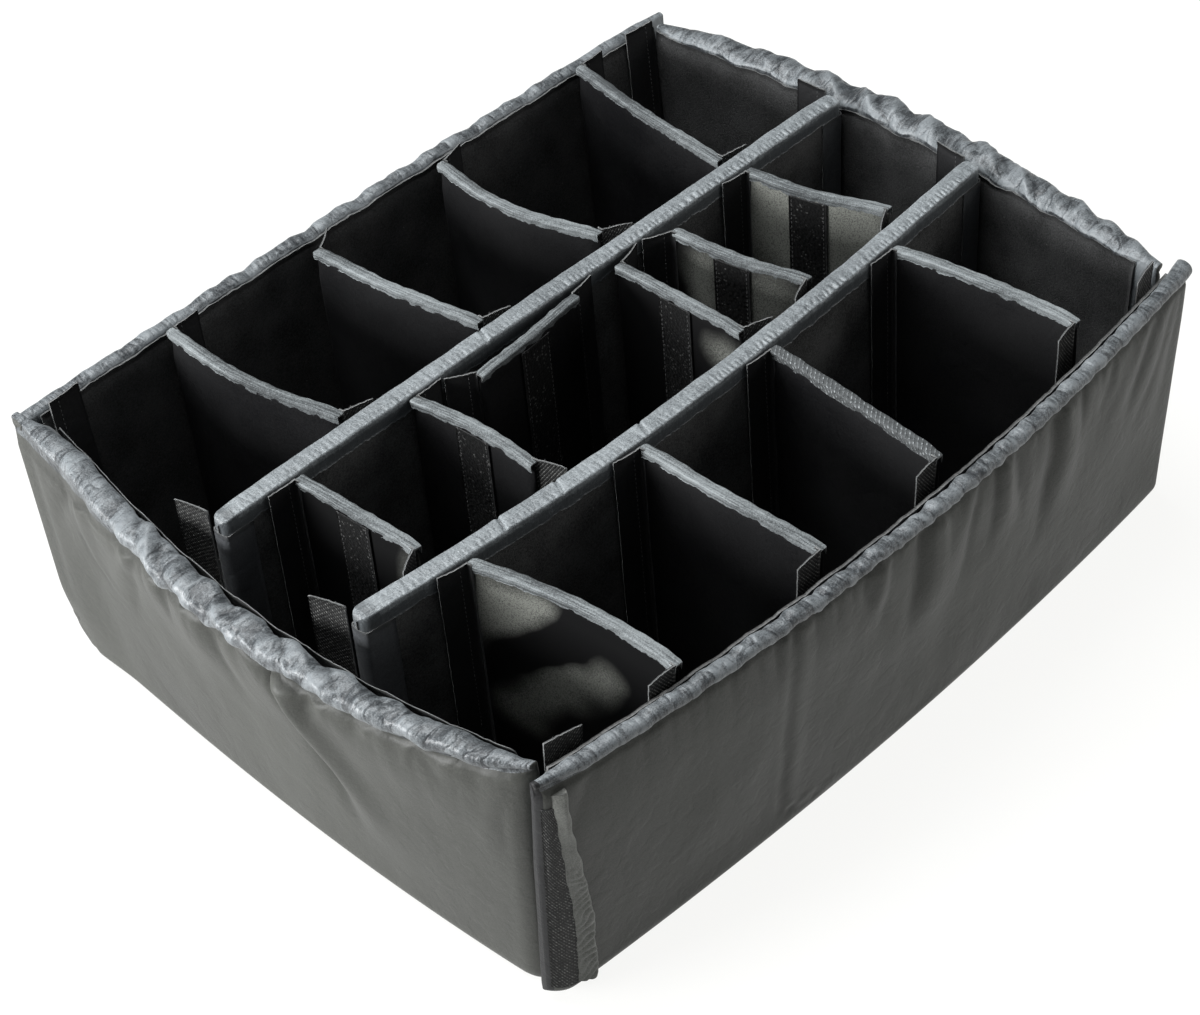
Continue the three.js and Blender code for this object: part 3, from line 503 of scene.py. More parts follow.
def nylon(
    name, dark, light, crease_scale, roughness=0.5, sheen=0.05, crease_depth=0.0006, slub=0.5,
    streaks=0.0, shine=0.5, folded=0.25, mottle=1.0, creases_with_painted_light=0.0,
):
    """Smooth woven nylon with a soft sheen. Drawn up, it gets streaks and creases, with painted shade in its
    folds and painted light on its ridges and facets.
    """
    fixed = {"Sheen Weight": sheen, "Sheen Roughness": 0.45, "Specular IOR Level": shine}
    material, tree, inputs, place, cloth = new_material(name, fixed)
    weave = use_group(tree, WEAVE, {"Cloth": cloth, "Slub": slub})
    crinkle = use_group(tree, CRINKLE, {"Place": place, "Crease scale": crease_scale})
    cloud = crinkle["Cloud"].scaled(0.3, 0.7, 0.5 - mottle / 2, 0.5 + mottle / 2)
    grain = noisy(tree, place, 1100.0, 1.0)
    streak = noisy(tree, turned(tree, cloth, (330.0, 38.0, 1.0), 0.25), 1.0, 2.0, 0.4)
    # Streaks of tone across the cloth: partly weave lines, partly a painted sheen.
    tone = cloud + weave["Tone"] * 1.5 + (grain - 0.5) * 1.6 + (streak - 0.5) * (3.0 * streaks)
    # Painted shade and painted light: the tone falls where the relief sinks into folds and rises on ridges, by
    # the folded share.
    tone = tone + standing_out(tree) * folded
    soft = bumped(tree, inputs, crinkle["Height"], 0.6, crease_depth)
    soft = bumped(tree, inputs, streak, streaks, 0.0012, soft)
    if creases_with_painted_light:
        # Painted light on the creases: each facet gets its own lighter or darker tone, with painted shade along
        # the crease lines and a painted highlight beside them; the bump makes real creases.
        values = {"Vector": cloth, "Scale": 55.0, "Detail": 2.0}
        bent = add_node(tree, "ShaderNodeTexNoise", values).outputs["Color"]
        values = {0: turned(tree, cloth, (85.0, 24.0, 1.0), 0.6), 1: bent}
        warped = add_node(tree, "ShaderNodeVectorMath", values, operation="ADD").outputs[0]
        edge = Flow(tree, voronoi(tree, warped, 1.0, "DISTANCE_TO_EDGE")["Distance"])
        facet_painted_light = parts(tree, voronoi(tree, warped, 1.0)["Color"])[0]
        tone = tone + (facet_painted_light - 0.6) * (0.8 * creases_with_painted_light) + edge.scaled(0.0, 0.12, -0.18 * creases_with_painted_light, 0.0)
        tone = tone + (edge - 0.13).maths("ABSOLUTE").scaled(0.0, 0.04, 0.25 * creases_with_painted_light, 0.0)
        soft = bumped(tree, inputs, edge.scaled(0.0, 0.12, 0.0, 1.0), 0.35 * creases_with_painted_light, 0.0012, soft)
    rough = crinkle["Cloud"].scaled(0.3, 0.7, roughness - 0.06, roughness + 0.06)
    feed(tree, inputs, {"Base Color": shaded(tree, tone, dark, light), "Roughness": rough})
    bumped(tree, inputs, weave["Height"], 0.25, 0.0001, soft)
    return material


def ridged_nylon(name, dark, light, pitch, roughness):
    """Nylon drawn into fine ridges along its length, as on the folded edge of a divider."""
    fixed = {"Sheen Weight": 0.06, "Sheen Roughness": 0.4, "Specular IOR Level": 0.2}
    material, tree, inputs, place, cloth = new_material(name, fixed)
    weave = use_group(tree, WEAVE, {"Cloth": cloth, "Slub": 0.6})
    crinkle = use_group(tree, CRINKLE, {"Place": place, "Crease scale": 140.0})
    ridges = noisy(tree, turned(tree, cloth, (14.0, 1.0 / pitch, 1.0)), 1.0, 2.5, 0.2)
    grain = noisy(tree, place, 1300.0, 1.0)
    tone = (ridges + weave["Tone"] * 0.4).scaled(0.32, 0.68, 0.0, 0.9)
    # Painted shade and painted light from the relief: darker in folds, lighter on ridges.
    tone = tone + crinkle["Cloud"].scaled(0.35, 0.65, -0.3, 0.3) + standing_out(tree) * 0.7 + (grain - 0.5) * 1.6
    rough = ridges.scaled(0.3, 0.7, roughness + 0.08, roughness - 0.08)
    feed(tree, inputs, {"Base Color": shaded(tree, tone, dark, light), "Roughness": rough})
    soft = bumped(tree, inputs, ridges, 0.7, 0.0008)
    soft = bumped(tree, inputs, crinkle["Height"], 0.4, 0.0005, soft)
    bumped(tree, inputs, weave["Height"], 0.25, 0.0001, soft)
    return material


def painted_satin_highlight(name, dark, light, highlight_patches):
    """Panel nylon with painted highlights in soft patches, and painted shade where a patch's share is negative:
    middle and half sizes along y and z, and share of each.
    """
    material, tree, inputs, place, cloth = new_material(name, {"Specular IOR Level": 0.08, "Roughness": 0.5})
    weave = use_group(tree, WEAVE, {"Cloth": cloth, "Slub": 0.8})
    moved = (noisy(tree, place, 26.0, 1.5) - 0.5) * 0.018
    _, along_y, along_z = parts(tree, place)
    total = 0.0
    for y, z, wide, high, share in highlight_patches:
        across = (along_y - y + moved) / wide
        upward = (along_z - z + moved) / high
        reach = across.maths("POWER", 2.0) + upward.maths("POWER", 2.0)
        # Each patch paints a highlight, or shade where its share is negative.
        total = total + (reach * -1.1).maths("EXPONENT") * share
    woven = weave["Tone"] * 1.5 + noisy(tree, place, 1100.0, 1.0).scaled(0.35, 0.65, 0.5, 1.25)
    tone = total.scaled(0.1, 0.85, 0.0, 1.0) * woven
    feed(tree, inputs, {"Base Color": shaded(tree, tone, dark, light)})
    bumped(tree, inputs, weave["Height"], 0.25, 0.0001)
    return material


def brushed_loop(name, dark, light):
    """Black brushed loop cloth with a short matted nap and some lint."""
    fixed = {"Sheen Weight": 0.03, "Sheen Roughness": 0.7, "Specular IOR Level": 0.08, "Roughness": 0.95}
    material, tree, inputs, place, _ = new_material(name, fixed)
    nap = noisy(tree, place, 900.0, 3.0, 0.6)
    matted = noisy(tree, place, 35.0, 4.0)
    base = shaded(tree, (nap + matted * 0.8).scaled(0.65, 1.15, 0.0, 1.0), dark, light)
    lint = use_group(tree, LINT, {"Place": place, "Amount": 0.12})
    feed(tree, inputs, {"Base Color": mix_colour(tree, lint["Mask"] * 0.5, base, (0.16, 0.16, 0.16, 1.0))})
    soft = bumped(tree, inputs, matted, 0.4, 0.0012)
    bumped(tree, inputs, nap, 0.8, 0.0006, soft)
    return material


def hook_tape(name, rows_per_metre, dark, light):
    """Hook tape: close slanting rows of small hooks that catch the light."""
    material, tree, inputs, place, cloth = new_material(name, {"Specular IOR Level": 0.4, "Sheen Weight": 0.0})
    along_tape, across_tape, _ = parts(tree, turned(tree, cloth, (1.0, 1.0, 1.0), 0.62))
    row = (along_tape * (rows_per_metre * 2 * math.pi)).maths("SINE")
    hook = (across_tape * (rows_per_metre * 1.5 * math.pi)).maths("SINE")
    hooks = row.scaled(-0.1, 0.9, 0.0, 1.0) * hook.scaled(-0.5, 0.8, 0.25, 1.0)
    caught = hooks * noisy(tree, place, 420.0, 2.0).scaled(0.42, 0.62, 0.1, 1.0)
    rough = caught.scaled(0.0, 1.0, 0.75, 0.45)
    feed(tree, inputs, {"Base Color": shaded(tree, caught, dark, light), "Roughness": rough})
    bumped(tree, inputs, hooks, 0.9, 0.0008)
    return material


def speckled_loop(name, dark, light):
    """The looped tape up a divider's face: matted black with pale loops standing out of it."""
    fixed = {"Specular IOR Level": 0.1, "Sheen Weight": 0.02, "Sheen Roughness": 0.6, "Roughness": 0.85}
    material, tree, inputs, place, _ = new_material(name, fixed)
    loops = Flow(tree, voronoi(tree, place, 480.0)["Distance"])
    worn = noisy(tree, place, 260.0, 3.0)
    caught = loops.scaled(0.42, 0.1, 0.0, 1.0) * worn.scaled(0.52, 0.64, 0.0, 1.0)
    feed(tree, inputs, {"Base Color": shaded(tree, caught, dark, light)})
    bumped(tree, inputs, loops + worn, 0.8, 0.0008)
    return material


def thread(name, dark, light):
    material, tree, inputs, place, _ = new_material(name, {"Roughness": 0.6, "Sheen Weight": 0.2})
    ply = noisy(tree, place, 700.0, 2.0)
    feed(tree, inputs, {"Base Color": shaded(tree, ply, dark, light, 0.3, 0.7)})
    bumped(tree, inputs, ply, 0.5, 0.0002)
    return material


WALL_NYLON = nylon("wall_nylon", (0.028, 0.0285, 0.0255), (0.051, 0.052, 0.0465), 60.0, shine=0.2, mottle=0.6)
# The rim is the wall's own nylon, here lighter and bluer, which paints in the light from above; its relief and
# creases add painted shade and painted highlights.
RIM_NYLON = nylon(
    "rim_nylon", (0.016, 0.0185, 0.021), (0.13, 0.141, 0.148), 110.0, 0.46, 0.06, streaks=0.5, shine=0.45,
    folded=0.6, mottle=0.4, creases_with_painted_light=0.85,
)
# A lighter copy of the wall's nylon for the welt by the near wall's end: painted light, which its slope does not
# catch from the lamps.
PAINTED_LIGHT_WELT_NYLON = nylon(
    "welt_nylon_painted_light", (0.065, 0.066, 0.06), (0.15, 0.153, 0.14), 60.0, streaks=0.1, shine=0.3, mottle=0.6,
)
EDGE_NYLON = ridged_nylon("edge_nylon", (0.035, 0.0385, 0.04), (0.175, 0.189, 0.193), 0.0016, 0.66)
RIBBED_EDGE = hook_tape("ribbed_edge", 360.0, (0.04, 0.043, 0.044), (0.24, 0.255, 0.26))
# A strong share of painted shade and painted light from the relief.
LONG_EDGE_NYLON = nylon(
    "long_edge_nylon", (0.05, 0.056, 0.06), (0.2, 0.217, 0.225), 150.0, 0.46, 0.1, streaks=0.32, folded=1.3,
    mottle=0.4,
)
PANEL_NYLON = nylon(
    "panel_nylon", (0.004, 0.004, 0.0044), (0.012, 0.012, 0.0124), 45.0, 0.5, 0.0, slub=0.3, shine=0.04,
)
FLAP_NYLON = nylon(
    "flap_nylon", (0.008, 0.008, 0.0085), (0.018, 0.018, 0.0185), 80.0, 0.5, 0.02, slub=0.3, shine=0.15,
)
END_NYLON = nylon(
    "end_nylon", (0.03, 0.032, 0.035), (0.075, 0.079, 0.084), 60.0, 0.42, 0.05, 0.0009, 0.3, shine=0.6,
)
LOOP = brushed_loop("brushed_loop", (0.009, 0.009, 0.009), (0.042, 0.042, 0.042))
# A lighter copy of the brushed loop for the long dividers' panels: painted light on faces that sit in shade
# inside the liner.
PANEL_LOOP = brushed_loop("panel_loop", (0.016, 0.016, 0.016), (0.075, 0.075, 0.074))
HOOK = hook_tape("hook_tape", 560.0, (0.004, 0.004, 0.004), (0.17, 0.17, 0.16))
SPECKLED = speckled_loop("speckled_loop", (0.002, 0.002, 0.002), (0.10, 0.10, 0.096))
FUZZ = thread("fuzz", (0.014, 0.014, 0.014), (0.085, 0.085, 0.082))
CUT_EDGE = thread("cut_edge", (0.025, 0.026, 0.026), (0.085, 0.087, 0.086))
DARK_THREAD = thread("dark_thread", (0.02, 0.02, 0.02), (0.07, 0.07, 0.07))


# Walls. Each is described along s from its start, o outwards from its straight line and z up. A size that isn't
# given is the plain wall's.


def wall(name, at, turn, length, **shape):
    plain = {
        "thickness": 13.0, "bottom_lean": 0.0, "top_lean": 0.0, "rim_rise": 0.0, "flares": (0.0, 0.0),
        "skew": 1.0, "wrap": 0.0, "corner_lift": 0.0, "reach_out": 0.0, "rim_return": 0.0,
        "stitch_puckers": 7.0, "end_band": 0.0, "edge_turn": 1.4, "hems": (HEM, HEM),
    }
    return SimpleNamespace(name=name, at=at, turn=turn, length=length, **{**plain, **shape})


NEAR = wall(
    "near_long_wall", (-5.0, 0.0), 0.0, 565.0, stations=38, seed=11, end_band=14.0, hems=(HEM, HEM),
    edge_turn=1.2, rim_thickness=13.5, bottom_lean=4.0, top_lean=15.0, bottom_bulge=13.0, top_bulge=18.0,
    rim_bulge=23.0, pad=3.5, rim_wave=1.5, fullness=0.8, crumple=0.1, facet=(0.8, 6.5, 9.0, 0.4), roll=0.76,
    reach_out=0.15, rim_return=-1.5, slant=0.3, swag=1.0, puff=0.2, puff_spacing=14.0, flat_top=0.15,
    excess=0.05, stitch_puckers=5.5,
)
RIGHT = wall(
    "right_end_wall", (555.0, 11.0), math.pi / 2, 406.0, stations=28, seed=23, flares=(11.0, 9.0),
    hems=(HEM, 2.0), rim_thickness=26.0, bottom_bulge=6.0, top_bulge=12.0, rim_bulge=26.0, pad=4.0,
    rim_wave=2.5, rim_rise=5.0, fullness=0.9, crumple=0.35, facet=(2.0, 13.0, 16.0, 0.9), roll=0.93,
    reach_out=0.3, rim_return=5.0, slant=0.9, swag=2.0, puff=0.7, puff_spacing=24.0, flat_top=0.25,
    excess=0.14,
)
FAR = wall(
    "far_long_wall", (560.0, 432.0), math.pi, 565.0, stations=26, seed=37, corner_lift=30.0,
    rim_thickness=13.5, top_lean=9.0, bottom_bulge=2.0, top_bulge=0.0, rim_bulge=3.0, pad=2.0, rim_wave=1.2,
    fullness=1.0, crumple=0.3, facet=(0.7, 12.0, 10.0, 0.5), roll=0.82, slant=0.4, swag=0.8, puff=0.5,
    puff_spacing=22.0, flat_top=0.2, excess=0.05, stitch_puckers=6.0,
)
LEFT = wall(
    "left_end_wall", (0.0, 417.0), -math.pi / 2, 406.0, stations=36, seed=41, flares=(9.0, 11.0), wrap=16.0,
    skew=1.15, rim_thickness=23.0, bottom_bulge=8.0, top_bulge=22.0, rim_bulge=37.0, pad=5.0, rim_wave=2.5,
    fullness=0.8, crumple=0.4, facet=(2.5, 17.0, 19.0, 0.9), roll=0.86, reach_out=0.55, slant=1.1, swag=4.5,
    puff=1.4, puff_spacing=24.0, flat_top=0.3, excess=0.14, edge_turn=2.5,
)

# Where the gathers draw each rim in, as shares of the wall's length. The cloth's folds run from a head under
# the rim to a foot: head share and height, foot share and height, depth, side of the ridge, and width.
NEAR.gathers = [
    0.03, 0.06, 0.09, 0.12, 0.155, 0.18, 0.2, 0.235, 0.27, 0.295, 0.32, 0.35, 0.38, 0.405, 0.43, 0.47, 0.495,
    0.51, 0.532, 0.55, 0.572, 0.59, 0.61, 0.625, 0.642, 0.66, 0.68, 0.698, 0.72, 0.738, 0.76, 0.782, 0.8,
    0.82, 0.84, 0.858, 0.88, 0.9, 0.915, 0.935, 0.955, 0.975,
]
NEAR.folds = [
    (0.055, 0.95, 0.021, 0.60, 2.5, -1, 13), (0.291, 0.95, 0.299, 0.72, 1.6, 1, 10),
    (0.318, 0.95, 0.320, 0.86, 1.2, 1, 6), (0.419, 0.95, 0.426, 0.70, 2.2, 1, 9),
    (0.463, 0.95, 0.450, 0.58, 1.4, -1, 8), (0.516, 0.95, 0.493, 0.45, 3.8, 1, 12),
    (0.600, 0.95, 0.576, 0.45, 2.0, -1, 10), (0.630, 0.95, 0.623, 0.52, 1.8, 1, 8),
    (0.659, 0.95, 0.686, 0.50, 2.2, -1, 10), (0.738, 0.95, 0.718, 0.30, 4.2, 1, 12),
    (0.782, 0.95, 0.782, 0.74, 1.6, 1, 7), (0.845, 0.95, 0.82, 0.7, 1.4, 1, 8),
    (0.929, 0.95, 0.861, 0.44, 2.6, -1, 12), (0.965, 0.92, 0.902, 0.42, 2.8, -1, 12),
    (0.980, 0.88, 0.953, 0.30, 2.6, -1, 12), (0.315, 0.10, 0.44, 0.02, 1.0, 1, 9),
]
LEFT.gathers = [
    0.03, 0.08, 0.15, 0.235, 0.3, 0.36, 0.42, 0.47, 0.52, 0.567, 0.61, 0.66, 0.7, 0.74, 0.775, 0.81, 0.84,
    0.87, 0.9, 0.93, 0.955, 0.98,
]
LEFT.folds = [
    (0.110, 0.92, 0.000, 0.55, 4.0, 1, 14), (0.292, 0.92, 0.173, 0.33, 2.4, -1, 12),
    (0.235, 0.92, 0.21, 0.7, 2.0, 1, 10), (0.35, 0.92, 0.36, 0.72, 2.0, -1, 9),
    (0.457, 0.92, 0.483, 0.45, 3.4, -1, 16), (0.563, 1.00, 0.690, 0.16, 9.0, 1, 12),
    (0.581, 0.95, 0.573, 0.86, 2.5, -1, 7), (0.655, 0.95, 0.663, 0.72, 2.6, 1, 9),
    (0.74, 0.95, 0.75, 0.8, 1.8, 1, 8), (0.840, 0.95, 0.870, 0.78, 2.2, 1, 9),
    (0.925, 0.95, 0.93, 0.8, 1.5, -1, 8), (0.973, 0.80, 0.956, 0.43, 1.8, -1, 8),
    (0.105, 0.60, 0.152, 0.50, 1.2, 1, 8),
]
FAR.gathers = [
    0.02, 0.06, 0.1, 0.14, 0.19, 0.23, 0.27, 0.32, 0.37, 0.41, 0.45, 0.5, 0.54, 0.58, 0.63, 0.67, 0.71, 0.76,
    0.8, 0.85, 0.89, 0.93, 0.97,
]
FAR.folds = [
    (0.2, 0.95, 0.22, 0.5, 2.2, 1, 12), (0.5, 0.95, 0.47, 0.4, 2.8, 1, 14),
    (0.78, 0.95, 0.8, 0.5, 2.2, -1, 12),
]
RIGHT.gathers = [
    0.04, 0.075, 0.1, 0.14, 0.17, 0.22, 0.26, 0.31, 0.37, 0.41, 0.46, 0.51, 0.58, 0.63, 0.69, 0.73, 0.78,
    0.83, 0.9, 0.945, 0.975,
]
RIGHT.folds = [
    (0.2, 0.92, 0.16, 0.4, 3.0, 1, 13), (0.47, 0.92, 0.52, 0.3, 4.5, -1, 15),
    (0.75, 0.92, 0.72, 0.5, 3.0, 1, 13),
]
WALLS = (NEAR, RIGHT, FAR, LEFT)


def full(u):
    return np.sqrt(np.abs(np.sin(np.pi * u)))


def along(wall, u, curve):
    """The walls run straight from one station to the next, as their solids do."""
    even = np.arange(wall.stations + 1) / wall.stations
    stations = (even + (1 - np.cos(np.pi * even)) / 2) / 2
    return np.interp(u, stations, curve(stations))


def bulge(wall, u):
    return along(wall, u, lambda share: np.abs(np.sin(np.pi * share**wall.skew)) ** wall.fullness)


def outer_offset(wall, u, z):
    swollen = bulge(wall, u)
    bottom = wall.bottom_lean + wall.bottom_bulge * swollen
    return lerp(bottom, wall.top_lean + wall.top_bulge * swollen, z / HEIGHT)


def rim_offset(wall, u):
    return wall.top_lean + wall.rim_bulge * bulge(wall, u)


def rim_thickness(wall, u):
    return lerp(wall.thickness, wall.rim_thickness, along(wall, u, full))


def inner_offset(wall, u, z):
    bottom = outer_offset(wall, u, 0.0) - wall.thickness
    return lerp(bottom, rim_offset(wall, u) - rim_thickness(wall, u), z / HEIGHT)


def rim_lift(wall, u):
    drawn = 0.0
    for place in wall.gathers[1::2]:
        drawn = drawn + np.exp(-(((u - place) * wall.length / 9) ** 2))
    fullness = along(wall, u, full)
    return fullness * (wall.rim_wave * (1 - 1.4 * drawn) + wall.rim_rise)


def shoulder_height(wall, u):
    return HEIGHT - rim_thickness(wall, u) / 2 + rim_lift(wall, u)


def seam_height(wall, u):
    lower = 8.0 * smooth((150 - u * wall.length) / 110) if wall.wrap else 0.0
    return shoulder_height(wall, u) - 0.96 * rim_thickness(wall, u) / 2 - lower


def placed(wall, s, o, z):
    """Points of a wall in the liner's own frame. It is longer at the top where its neighbours lean out."""
    u = s / wall.length
    s = s + (z / HEIGHT) * (wall.flares[1] * u - wall.flares[0] * (1 - u))
    c, n = math.cos(wall.turn), math.sin(wall.turn)
    return grid_of(wall.at[0] + s * c + o * n, wall.at[1] + s * n - o * c, z)


def end_rounding(wall, s, radius):
    """How much of its thickness the wall has left near its rounded ends."""
    last = 2.2 * radius if wall.wrap else radius
    depth = np.clip(np.minimum((s + wall.wrap) / radius, (wall.length - s) / last), 0, 1)
    return np.sqrt(1 - (1 - depth) ** 2)


def corner_depth(wall, s):
    """How far the cover falls back at its rounded ends."""
    return np.where(s > wall.length / 2, 11.0, 7.0) if wall.wrap else 7.0


def wrapped(wall, s, z=HEIGHT):
    """How far the cover swings out at its start, where it goes round the end of its neighbour."""
    return 6.8 * smooth((46 - s) / 50) * lerp(0.35, 1.0, smooth(z / 50)) if wall.wrap else 0 * s


def lifted_hem(wall, s):
    """How far the bottom edge rises at a rounded lower corner."""
    if wall.wrap:
        return 22 * (np.clip(4 - s, 0, 20) / 20) ** 1.15
    if wall.end_band:
        return 9 * smooth((20 - s) / 22) ** 1.5
    return wall.corner_lift * smooth((s - wall.length + 44) / 34)


def fold_depth(wall, s, z):
    total = 0.0
    for head, head_v, foot, foot_v, depth, side, width in wall.folds:
        up = np.clip((z / HEIGHT - foot_v) / (head_v - foot_v), 0, 1)
        wide = width * (1.5 - 0.8 * up)
        distance = s - lerp(foot, head, up) * wall.length + 2.5 * noise(z / 40, foot * 50, wall.seed)
        valley = np.exp(-np.abs(distance / (0.55 * wide)) ** 1.5)
        ridge = np.exp(-(((distance - side * 1.25 * wide) / wide) ** 2))
        total = total + depth * smooth(up * 1.6) * (0.8 * ridge - valley)
    return total


def cloth_offset(wall, s, z):
    """The outer face of the cover: swollen padding, folds from the rim and small puckers below the seam."""
    u = s / wall.length
    fullness = along(wall, u, full)
    seam = seam_height(wall, u)
    below = seam - z
    swell = wall.pad * np.sin(np.pi * (z / HEIGHT) ** 1.7)
    held = smooth(below / 7) * smooth(z / 22)
    creases = fold_depth(wall, s, z) * held
    small = gathers(s, z * 0.5, np.array(wall.gathers) * wall.length, np.zeros(len(wall.gathers)), 24.0)
    puckers = 1.8 * (small - 0.6) * np.exp(-below / 22) * smooth(below / 3)
    cloud = 1.1 * noise(s / 70, z / 60, wall.seed + 1) + 0.4 * noise(s / 22, z / 40, wall.seed + 2)
    drawn = -2.5 * np.exp(-below / 4)
    overhang = wall.reach_out * (rim_offset(wall, u) - outer_offset(wall, u, z)) * smooth((70 - below) / 70)
    standing = fullness * (swell + creases + puckers + cloud * held) + drawn * fullness
    return outer_offset(wall, u, z) + overhang + standing


def cover_cloth(wall, rng):
    """The cover's cloth over its outer face and roll, with each point's s, height over the seam and fullness."""
    start_s = -wall.wrap
    span = wall.length - start_s
    end_steps = np.array([0.3, 1.2, 2.6])
    s = np.concatenate([end_steps, np.linspace(4.5, span - 4.5, int(span / 3.4)), span - end_steps[::-1]])
    s = s[:, None] + start_s
    u = s / wall.length
    drawn_in = end_rounding(wall, s, END_RADIUS)
    fullness = along(wall, u, full)
    places = np.array(wall.gathers) * wall.length
    swags = gathers(s, 0 * s, places, 0 * places, wall.puff_spacing) - 0.35
    seam = seam_height(wall, u) - wall.swag * fullness * swags

    # the cloth below the seam
    share = np.linspace(0, 1, ROWS_BELOW)[None, :] ** 0.94
    z = lerp(8.0, seam, share)
    o = cloth_offset(wall, s, z) + wrapped(wall, s, z) - corner_depth(wall, s) * (1 - drawn_in)
    z = z + lifted_hem(wall, s) * (1 - share)
    below = placed(wall, s, o, z)
    # the roll over the top
    radius = wall.roll * rim_thickness(wall, u) / 2
    near_end = np.minimum(s + wall.wrap, wall.length - s)
    pinch = lerp(0.5, 1.0, smooth(near_end / 30))
    if wall.end_band:
        pinch = np.where(s > wall.length / 2, lerp(1.25, 1.0, smooth(near_end / 34)), pinch)
    if wall.corner_lift:
        pinch = np.where(s > wall.length / 2, lerp(0.9, 1.0, smooth(near_end / 30)), pinch)
    first = -0.44 + 0.3 * smooth((130 - s) / 90) if wall.wrap else -0.44 + 0 * s
    turn = np.pi * lerp(first, 0.92, np.linspace(0, 1, 18)[None, 1:])
    around = turn * radius
    slants = wall.slant * np.sin(np.pi * np.array(wall.gathers)) ** 2 + rng.uniform(-0.3, 0.3, len(places))
    puffs = wall.puff * (gathers(s, around, places, slants, wall.puff_spacing) - 0.8)
    puffs = puffs + wall.crumple * crumples(s, around, wall.puff_spacing * 0.95, wall.seed + 20)
    reach = radius * pinch + fullness * puffs
    squash = 1 - wall.flat_top * np.sin(turn).clip(0, 1)
    middle = rim_offset(wall, u) - radius - 0.03 * rim_thickness(wall, u) + wrapped(wall, s)
    roll_o = middle + reach * np.cos(turn)
    roll_z = shoulder_height(wall, u) + reach * np.sin(turn) * squash + 2.0 * (1 - pinch)
    start = np.concatenate([below, placed(wall, s, roll_o, roll_z)], axis=1)
    # cut wider towards the top, and drawn up by the seam
    from_seam = np.concatenate([z - seam, 3.0 + around - around[:, :1] + 0 * seam], axis=1)
    height = np.clip((from_seam + 120) / 150, 0, 1)
    excess = wall.excess * (0.12 * height + 0.88 * smooth((from_seam + 26) / 40))
    longer = wall.length / 2 + (s - wall.length / 2) * (1 + excess)
    cut = placed(wall, longer, np.concatenate([o, roll_o], axis=1), np.concatenate([z, roll_z], axis=1))
    held = np.zeros(start.shape[:2])
    held[:, [0, 1, -1]] = 1.0
    held[[0, 1, 2, -3, -2, -1]] = 1.0
    pulls = sum(np.exp(-(((s - place) / 4.0) ** 2)) for place in places)[:, 0].clip(0, 1)
    held[:, ROWS_BELOW - 1] = 0.25 + 0.75 * pulls
    settled = settled_cloth(f"{wall.name}_cloth", start, cut, held)
    return finer(settled, 2), finer(grid_of(s, from_seam, fullness), 2)


def stitched_detail(wall, s, from_seam, fullness, rng):
    """How far the cover stands out at its stitched seam, with puckers on both sides, and in its creases."""
    close = np.arange(3.0, wall.length, wall.stitch_puckers)
    close = close + rng.uniform(-1.0, 1.0, len(close))
    small = gathers(s, from_seam, close, rng.uniform(-0.25, 0.25, len(close)), wall.stitch_puckers)
    detail = (0.3 if wall.wrap else 0.7) * (small - 0.6) * np.exp(-np.abs(from_seam) / 7) * fullness
    groove = lerp(0.3, 1.3, smooth((s - 20) / 90) if wall.wrap else 1.0)
    detail = detail - groove * np.exp(-((from_seam / 1.8) ** 2))
    on_roll = smooth((from_seam + 2) / 5)
    depth, wide, long, lean = wall.facet
    folded = depth * facets(s + lean * from_seam, from_seam, wide, long, wall.seed + 30)
    finer_folds = facets(s - 0.6 * from_seam, from_seam, 0.4 * wide, 0.45 * long, wall.seed + 33)
    folded = folded + 0.22 * depth * finer_folds
    if wall.wrap:
        drape = 3.0 * facets(s + 1.5 * from_seam, from_seam, 60.0, 9.0, wall.seed + 36)
        folded = lerp(drape, folded, smooth((s - 50) / 80))
        over = smooth((from_seam + 26) / 24) * (1 - smooth((s - 60) / 60))
        detail = detail + 0.7 * drape * over * (1 - on_roll) * fullness
    detail = detail + folded * on_roll * fullness
    under = smooth((from_seam + 42) / 36) * (1 - on_roll)
    creases = crumples(s, from_seam * 0.35, wall.puff_spacing, wall.seed + 40)
    return detail + wall.crumple * 0.5 * creases * under * fullness


def closing_lines(wall, s):
    """The lines that close a cover: its inner side and hem, and from its roll down the inner side."""
    u = s / wall.length
    rounding = end_rounding(wall, s, END_RADIUS)
    hem = lifted_hem(wall, s)
    covered = smooth(-s / 2) if wall.wrap else 0 * s
    set_in = corner_depth(wall, s) * (1 - 0.5 * covered)

    def inner(z):
        return lerp(inner_offset(wall, u, z) + 0.8, wrapped(wall, s, z) - 1.6, covered)

    def line(z, more=0.0):
        return lerp(outer_offset(wall, u, z) - set_in, inner(z) + more, rounding)

    under = [placed(wall, s, line(z), z + hem) for z in (30.0, 12.0, 5.0)]
    under.append(placed(wall, s, line(0.0, 3 * rounding * (1 - covered)), 0.5 + hem))
    for z, inward in ((0.4, 5.0), (1.9, 2.4), (4.6, 0.7)):
        side = outer_offset(wall, u, z) + wrapped(wall, s, z)
        side = side - inward * lerp(0.6, 1.0, rounding) * (1 - 0.8 * covered)
        under.append(placed(wall, s, side - (corner_depth(wall, s) - 2) * (1 - rounding), z + hem))
    top = outer_offset(wall, u, HEIGHT) + 0.3 * wrapped(wall, s) - 3 - 0.6 * set_in
    top = lerp(top, inner(HEIGHT) + 1.5 - 3.2 * covered, rounding)
    down = [placed(wall, s, top, shoulder_height(wall, u) - drop) for drop in (6.0, 14.0)]
    down += [placed(wall, s, line(z), z) for z in (120.0, 70.0)]
    return under, down


